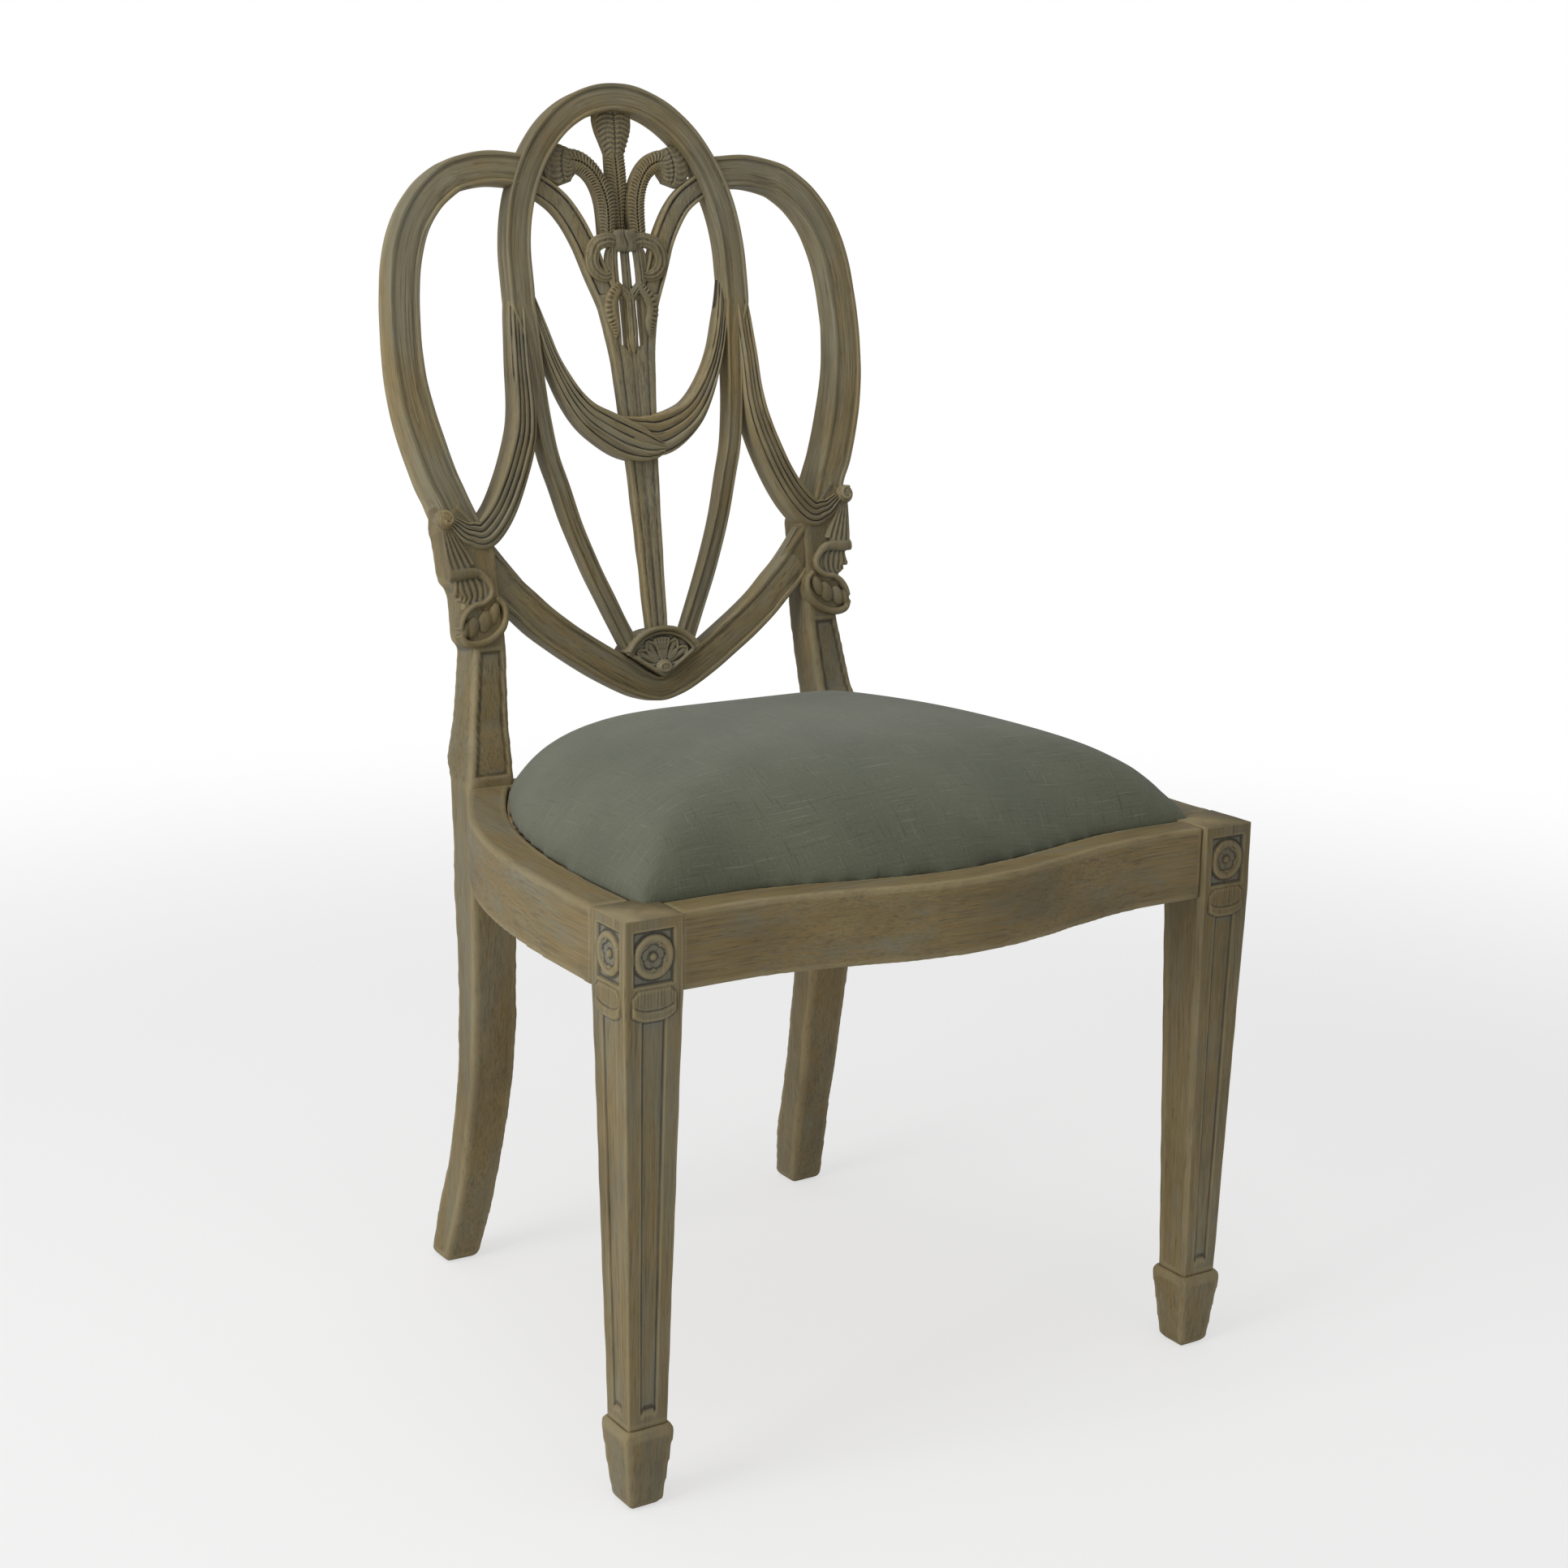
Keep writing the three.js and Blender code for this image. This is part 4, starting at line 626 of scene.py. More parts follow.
lobeRows = [[0.4, 0.86, 1.05], [0.549, 0.863, 1.06], [0.668, 0.8535, 1.06], [0.714, 0.8455, 1.06],
            [0.807, 0.8135, 1.05], [0.878, 0.768, 1.06], [0.922, 0.709, 1.06], [0.944, 0.618, 1.06],
            [0.9425, 0.5505, 1.07], [0.918, 0.478, 1.13], [0.861, 0.391, 1.12], [0.824, 0.353, 1.04],
            [0.797, 0.323, 1.04], [0.765, 0.29, 1.04]]
railRows = [[0, 0.02, 0.72], [0.075, 0.03, 0.83], [0.15, 0.0485, 0.966], [0.232, 0.0695, 1],
            [0.3165, 0.0935, 1], [0.402, 0.1185, 1], [0.486, 0.1465, 1], [0.55, 0.1725, 1],
            [0.612, 0.1975, 1], [0.725, 0.256, 1], [0.84, 0.32, 0.9]]

beads = sectionObject("bead section", beadSection)
middle = shield["hoopCentre"]
rise = (upAt(1) - shield["hoopWidth"] / 2 - upAt(middle)) / back["height"]
angles = np.linspace(0, math.pi, 400)
archRows = np.stack([shield["hoopHalf"] * np.cos(angles), middle + rise * np.sin(angles), np.ones(400)], 1)
ribCurve = smoothRows(ribRows)[:, :3] * np.array([1, 1, shield["ribWidth"] / shield["hoopWidth"]])
ovalRows = np.vstack([ribCurve[::-1], archRows, ribCurve * np.array([-1, 1, 1])])
ovalFoot = upAt(shield["hoopFoot"])
ribFoot = upAt(ribRows[-1][1])


def ovalRun():  # up one rib, over the hoop and down the other rib
    run = line(ovalRows, shield["hoopWidth"], lambda x, s: 0, lambda x, s: shield["hoopBack"], smoothed=False)
    low = np.clip((ovalFoot - run["v"]) / (ovalFoot - ribFoot), 0, 1)
    run["face"] = shield["hoopFace"] + shield["ribDrop"] * low
    steps = np.stack([np.arange(len(low) - 1), np.arange(1, len(low))], 1)
    run["width"] = averaged(run["width"][:, None], steps, 40)[:, 0]
    return run


oval = carved(placed(moulded("oval hoop and ribs", ovalRun(), beads, carvedFinish)), 1)
dress(oval, carvedFinish, ["hoop", "hoop_rib_right", "hoop_rib_left"])


def lobeBack(x, share):  # the lobe grows as thick as the leg that it runs into
    grown = (share - shield["thickenFrom"]) / (shield["thickenTo"] - shield["thickenFrom"])
    return shield["depth"] + (shield["legDepth"] - shield["depth"]) * min(max(grown, 0), 1)


def lobeFace(x, share):  # tucked in behind the hoop, and proud of the leg at its foot
    end = min(max((share - shield["proudFrom"]) / shield["proudOver"], 0), 1)
    return shield["lobeTuck"] * max(0, 1 - share / shield["tuckShare"]) - shield["lobeProud"] * end


lobeRun = line(lobeRows, shield["lobeWidth"], lobeFace, lobeBack)
lobeRight = moulded("lobe right", lobeRun, beads, carvedFinish, 4)
cutMesh(lobeRight.data, (0, 0, upAt(shield["jointUp"])), (0, 0, -1))
carved(placed(lobeRight), 4)
dress(lobeRight, carvedFinish, ["shield_lobe_right"])
leftTwin(lobeRight, "lobe left", 5, carvedFinish, "shield_lobe_left")


def dishAt(x):
    return shield["railDip"] * max(0, 1 - (x / acrossAt(shield["railReach"])) ** 2)


railRun = line(bothSides(railRows[:-1]), shield["railWidth"], lambda x, s: dishAt(x),
               lambda x, s: dishAt(x) + shield["railDepth"])
footRail = moulded("foot rail", railRun, beads, carvedFinish, 6)
print("shield mouldings made")


# Small carved forms.
def ball(centre, radii, turn=0.0):  # turn: in the plane of the back
    shape = bmesh.new()
    matrix = Matrix.Translation(centre) @ Matrix.Rotation(-turn, 4, "Y") @ Matrix.Diagonal((*radii, 1))
    bmesh.ops.create_uvsphere(shape, u_segments=32, v_segments=16, radius=1, matrix=matrix)
    mesh = bpy.data.meshes.new("ball")
    shape.to_mesh(mesh)
    shape.free()
    return mesh


def tube(points, radii, around=14, closed=False):
    # a round bar through points; radii gives its half width and its half depth at each point
    points, radii = np.array(points, float), np.array(radii, float)
    if radii.ndim == 1:
        radii = np.stack([radii, radii], 1)
    ways = np.gradient(points, axis=0)
    if closed:
        ways = np.roll(points, -1, 0) - np.roll(points, 1, 0)
    ways /= np.linalg.norm(ways, axis=1)[:, None]
    inward = np.array([0.0, 1.0, 0.0])
    rings = []
    for place, way, (wide, deep) in zip(points, ways, radii):
        side = np.cross(way, inward)
        side /= max(np.linalg.norm(side), 1e-9)
        up = np.cross(side, way)
        angles = np.linspace(0, 2 * math.pi, around, endpoint=False)
        rings.append(place + wide * np.cos(angles)[:, None] * side + deep * np.sin(angles)[:, None] * up)
    mesh = meshFrom("tube", np.vstack(rings), ringFaces(len(rings), around, closed))
    outward(mesh)
    return mesh


def curveThrough(points, count):
    table = smoothRows([list(p) for p in points])
    at = np.linspace(0, len(table) - 1, count)
    return np.stack([np.interp(at, np.arange(len(table)), table[:, k]) for k in range(table.shape[1] - 1)], 1)


def slabOf(outline, front, thickness):  # outline: across and up, in metres
    count = len(outline)
    points = [(x, front, v) for x, v in outline] + [(x, front + thickness, v) for x, v in outline]
    faces = [tuple(range(count)), tuple(range(count, 2 * count))[::-1]]
    faces += [(i, (i + 1) % count, count + (i + 1) % count, count + i) for i in range(count)]
    mesh = meshFrom("slab", points, faces)
    outward(mesh)
    return mesh


# Patera: a round border over a fan of leaves and flutes, with a boss at its foot.
patera = {"half": 41 * mm, "rise": 36 * mm, "up": 80.5 * mm, "ends": 0.47, "point": 72.5 * mm,
          "face": 2.5 * mm, "floor": 6.6 * mm, "voxel": 0.6 * mm, "leaf": 26 * mm, "leafHalf": 4.9 * mm,
          "leafTurns": (0.56, 1.02), "fluteTurns": (0, 0.13, 0.27)}


def pateraMeshes():
    foot, floor = patera["up"], patera["floor"]

    def arch(inset, depth):
        turns = np.linspace(patera["ends"], math.pi - patera["ends"], 70)
        return [((patera["half"] - inset) * math.cos(a), depth, foot + (patera["rise"] - inset) * math.sin(a))
                for a in turns]

    plate = [(x, v) for x, depth, v in arch(1 * mm, 0)] + [(0, patera["point"])]
    parts = [slabOf(plate, floor, shield["railDip"] + shield["railDepth"] - floor)]
    for inset, thick, lift in ((2.4, 2.5, 0.4), (6.2, 1.5, 1.9)):
        rim = arch(inset * mm, patera["face"] + lift * mm)
        parts.append(tube(rim, np.full(len(rim), thick * mm)))
    corner = arch(3 * mm, floor - 1 * mm)[0]
    for sign in (-1, 1):
        low = np.linspace([sign * corner[0], corner[1], corner[2]],
                          [0, floor - 1 * mm, patera["point"] + 1 * mm], 12)
        parts.append(tube(low, np.full(12, 1.8 * mm)))
    base = np.array([0, floor - 0.6 * mm, foot])
    for sign in (-1, 1):
        for turn in patera["leafTurns"]:
            way = np.array([sign * math.sin(turn), 0, math.cos(turn)])
            side = np.array([way[2], 0, -way[0]])
            long = patera["leaf"] * (1.06 if turn < 0.8 else 1.12)
            for edge in (-1, 1):
                shape = [(0.2, 0.25), (0.42, 0.75), (0.66, 1), (0.86, 0.72), (1, 0.05)]
                bend = curveThrough([base + way * long * s + side * edge * patera["leafHalf"] * w
                                     for s, w in shape], 22)
                parts.append(tube(bend, np.linspace(0.75, 1.15, 22) * mm))
            rib = [base + way * long * s + np.array([0, 0.8 * mm, 0]) for s in np.linspace(0.15, 0.9, 14)]
            parts.append(tube(rib, np.stack([np.linspace(1, 2.9, 14), np.full(14, 1.3)], 1) * mm))
        for turn in patera["fluteTurns"]:
            way = np.array([sign * math.sin(turn), 0, math.cos(turn)])
            rib = [base + way * patera["leaf"] * s for s in np.linspace(0.2, 1.0, 14)]
            parts.append(tube(rib, np.linspace(0.8, 1.7, 14) * mm))
    parts.append(ball((0, floor - 1 * mm, foot), (8.5 * mm, 4 * mm, 6.8 * mm)))
    ring = [(5 * mm * math.cos(a), floor - 4.2 * mm, foot + 3.6 * mm * math.sin(a))
            for a in np.linspace(0, 2 * math.pi, 36, endpoint=False)]
    parts.append(tube(ring, np.full(36, 1.1 * mm), closed=True))
    return parts


pateraPiece = shownObject("half patera", joinedShape(pateraMeshes()))
remeshed(pateraPiece, patera["voxel"], 1)
markGrain(pateraPiece.data, right, up, 7)
footRail.data = joinedShape([footRail.data, pateraPiece.data])
bpy.data.objects.remove(pateraPiece)
carved(placed(footRail), 6)
dress(footRail, carvedFinish, ["shield_foot_rail"])

# Splat: a moulded column that opens into two arms, with two slots behind the bow.
splat = {"voxel": 0.8 * mm, "face": 9 * mm, "back": 19 * mm, "band": 21 * mm, "slot": 6 * mm,
         "slotAt": (0.036, 0.571, 0.656)}
splatRows = [[0, 0.1, 0.082], [0, 0.257, 0.104], [0, 0.392, 0.131], [0, 0.475, 0.156], [0, 0.523, 0.171],
             [0, 0.561, 0.185], [0, 0.599, 0.211], [0, 0.63, 0.24], [0, 0.662, 0.27]]
armRows = [[0.06, 0.555, 0.5], [0.071, 0.60, 0.72], [0.083, 0.65, 0.98], [0.123, 0.694, 1],
           [0.176, 0.754, 1], [0.255, 0.808, 1], [0.369, 0.842, 1], [0.42, 0.852, 1]]
columnPoints = [(-0.5, 2.4), (-0.49, 1.0), (-0.46, 0.3), (-0.40, 0.1), (-0.345, 0.5), (-0.325, 1.2),
                (-0.305, 1.0), (-0.2, 0.35), (-0.09, 0.6), (-0.06, 1.5), (-0.03, 1.2), (0, 1.0)]
columnSection = sectionObject("column section", closedSection(smoothSection(mirroredSection(columnPoints))))
bodyRun = line(splatRows, 2 * acrossAt(0.5), lambda x, s: splat["face"], lambda x, s: splat["back"])
armRun = line(armRows, splat["band"], lambda x, s: splat["face"], lambda x, s: splat["back"])
bodyPiece = moulded("moulded column", bodyRun, columnSection, carvedFinish, 8)
armPiece = moulded("splat arm", armRun, beads, carvedFinish, 9)
armLeft = mirrorPiece(armPiece, "splat arm left", 10)
splatPiece = shownObject("splat carving", joinedShape([bodyPiece.data]))
slotLow, slotHigh = upAt(splat["slotAt"][1]), upAt(splat["slotAt"][2])
slotCutters = []
for sign in (-1, 1):
    x, half = sign * acrossAt(splat["slotAt"][0]), splat["slot"] / 2
    outline = [(x - half, slotLow + 6 * mm), (x - sign * half, slotLow), (x + half, slotLow + 6 * mm),
               (x + half, slotHigh), (x - half, slotHigh)]
    slotCutters.append(slabOf(outline, -10 * mm, 60 * mm))
cutter = shownObject("slots", joinedShape(slotCutters))
splatPiece.data = joinedShape([splatPiece.data, armPiece.data, armLeft.data])
remeshed(splatPiece, splat["voxel"], 1)
boolean = splatPiece.modifiers.new("slots", "BOOLEAN")
boolean.object = cutter
boolean.solver = "MANIFOLD"
evaluated(splatPiece)
for piece in (bodyPiece, armPiece, armLeft, cutter):
    bpy.data.objects.remove(piece)
placed(splatPiece)
markGrain(splatPiece.data, up, right, 8)
carved(splatPiece, 8)
dress(splatPiece, carvedFinish, ["splat"])
print("patera and splat made")

# Drapery: folds that run together towards the ends.
swag = {"width": 40 * mm, "face": 0.5 * mm, "recede": 3 * mm, "sink": 8 * mm, "sinkFrom": 0.86,
        "outerWidth": 25 * mm, "outerProud": 4 * mm, "reach": 0.43,
        "fold": 2.7, "lean": 0.8, "crest": 0.7, "varied": 0.25, "edge": 2.2}
outerSwagRows = [[0.462, 0.73, 0.4], [0.474, 0.675, 0.55], [0.484, 0.63, 0.62], [0.492, 0.561, 0.66],
                 [0.497, 0.485, 0.78], [0.519, 0.433, 0.88], [0.571, 0.3745, 0.92], [0.633, 0.325, 0.96],
                 [0.6945, 0.295, 1], [0.765, 0.293, 0.8], [0.835, 0.312, 0.4]]
foldFace = flatSection(61, 3)


def foldsAt(shares, along, folds, drift, depth):
    phase = (shares + 0.5) * folds + drift * (along - 0.5)
    saw = phase - np.floor(phase)
    lean = saw ** swag["lean"]  # each fold leans to one side
    height = 1 - swag["varied"] + swag["varied"] * np.cos(2 * math.pi * np.floor(phase) / 3)
    ridge = 1 - (1 - (2 * lean - 1) ** 2) ** swag["crest"] * height
    rounded = swag["edge"] * (2 * np.abs(shares)) ** 6
    return depth * ridge + rounded


leftBundle = [[-0.43, 0.70, 0.16], [-0.415, 0.66, 0.2], [-0.395, 0.622, 0.24], [-0.363, 0.572, 0.29],
              [-0.313, 0.522, 0.4], [-0.243, 0.477, 0.57], [-0.158, 0.449, 0.74], [-0.085, 0.431, 0.8],
              [-0.02, 0.419, 0.72], [0.035, 0.4125, 0.5], [0.075, 0.411, 0.24]]
rightBundle = [[-0.11, 0.457, 0.3], [-0.06, 0.447, 0.5], [0, 0.438, 0.74], [0.07, 0.4345, 0.9],
               [0.158, 0.449, 0.77], [0.243, 0.477, 0.57], [0.313, 0.522, 0.4], [0.363, 0.572, 0.29],
               [0.395, 0.622, 0.24], [0.415, 0.66, 0.2], [0.43, 0.70, 0.16]]


def bundle(rows, front, folds, drift, seed):
    reach, sinkFrom = acrossAt(swag["reach"]), swag["sinkFrom"]

    def faceAt(x, share):  # the ends sink behind the hoop
        out = abs(x) / reach
        ending = max(0, (out - sinkFrom) / (1 - sinkFrom))
        return front + swag["recede"] * out ** 2 + swag["sink"] * ending ** 2

    run = line(rows, swag["width"], faceAt, lambda x, s: shield["hoopBack"] - 1 * mm, step=1.0 * mm)
    return draped(run, foldFace,
                  lambda shares, along: foldsAt(shares, along, folds, drift, swag["fold"]), seed)


swagMeshes = [bundle(leftBundle, swag["face"] - 1 * mm, 4.4, 0.7, 11),
              bundle(rightBundle, swag["face"] + 0.8 * mm, 4.2, -0.7, 12)]
swagPiece = shownObject("centre swag folds", joinedShape(swagMeshes))
placed(swagPiece)
carved(swagPiece, 11)
dress(swagPiece, carvedFinish, ["centre_swag"])


def outerFace(x, share):  # starts behind the face of the hoop and comes forward
    start = shield["hoopFace"] + 2 * mm
    return start - (start + swag["outerProud"]) * min(1, max(0, share - 0.12) / 0.36)


outerRun = line(outerSwagRows, swag["outerWidth"], outerFace,
                lambda x, s: shield["hoopBack"] - 1 * mm, step=1.0 * mm)
outerMesh = draped(outerRun, foldFace,
                   lambda shares, along: foldsAt(shares, along, 4.6, 0.9, swag["fold"]), 12)
outerRight = carved(placed(shownObject("outer swag right folds", outerMesh)), 12)
dress(outerRight, carvedFinish, ["outer_swag_right"])
leftTwin(outerRight, "outer swag left folds", 13, carvedFinish, "outer_swag_left")

# Knots: a turned button with a curled leaf on it.
knot = {"at": (0.866, 0.3176), "radius": 8.5 * mm, "voxel": 0.6 * mm, "softening": 2}


def knotMeshes():
    x, v, radius = acrossAt(knot["at"][0]), upAt(knot["at"][1]), knot["radius"]
    parts = [ball((x, 0, v), (radius, 7.5 * mm, radius)),
             ball((x - 1 * mm, 8 * mm, v), (radius * 0.8, 9 * mm, radius))]
    spiral = [(x + radius * (0.78 - 0.5 * t) * math.cos(5 * t + 1), (-4.4 - 3.2 * t) * mm,
               v + radius * (0.78 - 0.5 * t) * math.sin(5 * t + 1)) for t in np.linspace(0, 1, 40)]
    parts.append(tube(spiral, np.linspace(1.9, 1.5, 40) * mm))
    return parts


knotRight = shownObject("swag button right", joinedShape(knotMeshes()))
remeshed(knotRight, knot["voxel"], knot["softening"])
smallCarving(knotRight, 14, ["swag_knot_right"])
leftTwin(knotRight, "swag button left", 15, carvedFinish, "swag_knot_left")
print("drapery made")

# Feathers: three stems with herringbone barbs, each ending in a head of arched ribs.
# rows: across, up, width and depth of the face, in mm, in the plane of the back
feather = {"back": 20 * mm, "foot": 0.757, "voxel": 0.44 * mm, "ribGap": 4.2 * mm, "barbGap": 2.8 * mm,
           "groove": 0.8, "margin": 1.2 * mm, "sunk": 0.7 * mm, "thick": 3.2, "crown": 5.5, "upright": 0.3}
centreHead = [(0, 517, 17, 13), (0, 523, 21, 11.6), (0, 531, 27, 10.6), (0, 539, 33, 10.2),
              (0, 547, 36, 10.2), (0, 555, 35, 10.6), (0, 562, 29, 11.6), (0, 567, 20, 13)]
centreStem = [(0, 448, 8, 14), (0, 456, 7.5, 14), (0, 469, 10.5, 13.8), (0, 480, 15, 13.4),
              (0, 490, 18.5, 13), (0, 505, 19.5, 13), (0, 520, 19, 13.4)]
sideStem = [(15, 448, 14.5, 9.5), (14.6, 456, 15, 9), (14.2, 469, 16, 8.3), (15, 480, 16, 8),
            (17.6, 490, 15.5, 8), (22, 499.5, 15.5, 8), (28, 507, 16.5, 8.4), (35, 511.8, 18, 9),
            (42, 513.6, 19.5, 9.4), (48, 513, 20, 9.8)]
sideHead = [(50.4, 526, 15, 10.6), (51.8, 522, 24, 9.6), (53.6, 516.5, 30, 9.0), (54.6, 510.5, 32, 8.8),
            (54.6, 504.5, 31, 8.9), (53.6, 499, 26, 9.4), (52, 494, 15, 10.6)]
backing = [(0, 447, 36, 17.5), (0, 462, 33, 17.5), (0, 476, 28, 17.5), (0, 489, 20, 17.5)]
strandStep = 0.7 * mm


def strand(rows, backDepth, section, reliefAt):
    table = smoothRows(rows) * np.array([mm, mm, mm, mm, 1])
    run = evenly(dict(zip(("x", "v", "width", "face", "share"), table.T)), strandStep)
    run["back"] = np.full(len(run["x"]), backDepth)
    return run, draped(run, section, reliefAt, 0)


def barbsPlaced(tree, given):
    form = put(tree, "GeometryNodeObjectInfo", {"Object": given["Barb"]}).outputs["Geometry"]
    size = named(tree, "size", "FLOAT_VECTOR")
    turn = put(tree, "FunctionNodeEulerToRotation", {0: named(tree, "turn", "FLOAT_VECTOR")}).outputs[0]
    return put(tree, "GeometryNodeInstanceOnPoints", {
        "Points": given["Places"], "Instance": form, "Rotation": turn, "Scale": size}).outputs[0]


barbs = groupTree("barbs along a feather", {
    "Places": "Geometry", "Barb": "Object", "Finish": "Material"}, barbsPlaced)
# one barb, one unit long: out from the groove along X, arching up, then drooping and falling back
barbShares = np.linspace(0, 1, 16)
barbLine = [(s, 0.17 * s ** 2.4, 0.62 * s - 0.9 * s ** 2) for s in barbShares]
barbEnds = (1.001 - barbShares ** 8) ** 0.5
barbThick = np.stack([0.118 * np.sin(0.55 + 2.2 * barbShares) ** 0.5 * barbEnds, 0.12 * barbEnds], 1)
barbForm = shownObject("one barb", tube(barbLine, barbThick, 10))


def barbsAlong(run, gap, crown, lift, start, stop):
    # crown: how far the face falls back at its edges; lift: how far each barb turns towards the tip
    places, turns, sizes = [], [], []
    at, end = run["along"][-1] * start + gap / 2, run["along"][-1] * stop
    while at < end:
        x, v, width, face = (np.interp(at, run["along"], run[key]) for key in ("x", "v", "width", "face"))
        way = np.array([np.interp(at, run["along"], run["way"][:, k]) for k in (0, 1)])
        tilt = math.atan2(way[0], way[1])
        for sign in (-1, 1):
            long = (width / 2 - feather["margin"]) / math.cos(lift)
            below = feather["sunk"] if lift < feather["upright"] else 0
            places.append((x + sign * way[1] * feather["groove"] * mm, face + below,
                           v - sign * way[0] * feather["groove"] * mm))
            turns.append((0, tilt - sign * lift, 0))
            sizes.append((sign * long, crown * feather["crown"], gap * feather["thick"] * math.cos(lift)))
        at += gap
    mesh = meshFrom("barb places", places, [])
    store(mesh, "turn", np.array(turns))
    store(mesh, "size", np.array(sizes))
    piece = shownObject("barbs", mesh)
    modifier = piece.modifiers.new("barbs", "NODES")
    modifier.node_group = barbs
    setInputs(modifier, {"Barb": barbForm, "Finish": carvedFinish})
    evaluated(piece)
    mesh = piece.data
    outward(mesh)
    bpy.data.objects.remove(piece)
    return mesh


def crowned(crown, groove):
    return lambda shares, along: (crown * np.abs(2 * shares) ** 2.4
                                  + groove * np.exp(-(2 * np.abs(shares) / 0.07) ** 2))


stemFace = flatSection(37, 3)


def featherMeshes(group):
    parts = []
    for rows, crown, gap, lift, alone in group:
        run, skin = strand(rows, feather["back"], stemFace, crowned(crown, 1.4))
        made = [skin, barbsAlong(run, gap, crown * mm, lift, 0.04, 0.97)]
        parts += made if alone else made + [mirrored(mesh) for mesh in made]
    return parts


headGroup = ((centreHead, 3.0, feather["ribGap"], 0.0, True), (sideHead, 2.6, feather["ribGap"], 0.0, False))
stemGroup = ((centreStem, 1.7, feather["barbGap"], 0.6, True),
             (sideStem, 1.9, feather["barbGap"], 0.6, False))
headMeshes = featherMeshes(headGroup)
stemMeshes = featherMeshes(stemGroup) + [strand(backing, feather["back"], stemFace, crowned(0.2, 0))[1]]
for label, meshes, nodes in (("feather heads", headMeshes, []), ("feather stems", stemMeshes, ["plumes"])):
    plumePiece = shownObject(label, joinedShape(meshes))
    remeshed(plumePiece, feather["voxel"], 1)
    cutMesh(plumePiece.data, (0, 0, upAt(feather["foot"])), (0, 0, -1))
    smallCarving(plumePiece, 16, nodes)
    print(label, "made of", len(plumePiece.data.polygons), "faces")
bpy.data.objects.remove(barbForm)

# Bow: a knot with a crease, two looped ribbons, three strips, two pleated tails and a forked bar.
bow = {"back": 13 * mm, "voxel": 0.5 * mm}
knotRows = [(-12, 446, 17, 7), (-8, 446, 18, 6), (0, 446, 18.5, 5.6), (8, 446, 18, 6), (12, 446, 17, 7)]
loopRows = [(6, 444, 10, 7.5), (13, 446.5, 12, 6.6), (21, 446, 12.5, 6.0), (29.5, 442, 12.5, 5.6),
            (33.6, 433.5, 12.5, 5.6), (33.4, 424.5, 12.5, 6.0), (28.5, 418.5, 11.5, 6.8), (21, 416, 9.5, 8),
            (14, 418.5, 7, 9.4)]
innerLoop = [(13, 441, 7, 8.4), (16.5, 434, 7, 8.6), (17, 426, 7, 8.8), (14, 417, 6, 9.4)]
middleStrip = [(0, 440, 8.4, 9.8), (0, 424, 8.4, 9.6), (0, 404, 8.6, 9.2)]
sideStrip = [(11.5, 442, 8.5, 8.2), (12.6, 428, 8.5, 8.2), (12.8, 414, 8.4, 8.0), (12.4, 406, 8.4, 8.0)]
tailRows = [(9.5, 410, 7, 7), (12.5, 405, 9.5, 5.5), (17, 399.5, 11, 4.8), (20.2, 391, 11.4, 4.4),
            (19.8, 383, 11.4, 4.6), (17.4, 375.5, 10.5, 5), (16.6, 369.5, 7, 6), (17.4, 363.5, 2.5, 8)]
forkRows = [(12, 410, 6, 7.5), (7.5, 405, 7, 6.8), (2.5, 399.5, 8, 6.4), (0, 394, 8.5, 6.4)]
barRows = [(0, 402, 9.5, 6.2), (0, 388, 8.8, 6.2), (0, 370, 9.2, 6.4), (0, 360, 8, 7), (0, 350, 1.6, 9.8)]
ribbonFace = flatSection(25, 2)


def ribbonRelief(shares, along):
    return 1.8 * np.abs(2 * shares) ** 4 + 0.45 * np.cos(6 * math.pi * shares)


def pleatedRelief(shares, along):  # short cuts run in from the inner side
    cuts = 0.5 + 0.5 * np.cos(2 * math.pi * 15 * along)
    inner = np.clip(0.5 - shares * 3, 0, 1) * np.clip(8 * along, 0, 1)
    return 2.2 * np.abs(2 * shares) ** 4 + 1.9 * cuts ** 2 * inner


def creasedRelief(shares, along):
    crease = along - 0.5 - 0.035 * np.sin(2 * math.pi * shares)
    return 1.5 * np.exp(-(crease / 0.03) ** 2) + 1.4 * np.abs(2 * shares) ** 5 + 3 * abs(2 * along - 1) ** 6


def bowMeshes():
    parts = [strand(knotRows, bow["back"], ribbonFace, creasedRelief)[1]]
    parts += [strand(rows, bow["back"], ribbonFace, ribbonRelief)[1] for rows in (middleStrip, barRows)]
    for rows, shape in ((loopRows, ribbonRelief), (innerLoop, ribbonRelief), (sideStrip, ribbonRelief),
                        (tailRows, pleatedRelief), (forkRows, ribbonRelief)):
        skin = strand(rows, bow["back"], ribbonFace, shape)[1]
        parts += [skin, mirrored(skin)]
    return parts


bowPiece = shownObject("ribbon bow carving", joinedShape(bowMeshes()))
remeshed(bowPiece, bow["voxel"], 1)
smallCarving(bowPiece, 17, ["ribbon_bow"])
print("bow made")

# Legs and seat rails.
frameForms = {"voxel": 1.7 * mm, "softening": 2}
worn = {"depth": 7 * mm, "inset": 0.17}


def framePiece(name, node, along, across, seed, finish):
    piece = shownObject(name, copyOf(node))
    remeshed(piece, frameForms["voxel"], frameForms["softening"])
    markGrain(piece.data, along, across, seed)
    handWorked(piece.data, seed)
    markRelief(piece.data)
    return dress(piece, finish, [node])


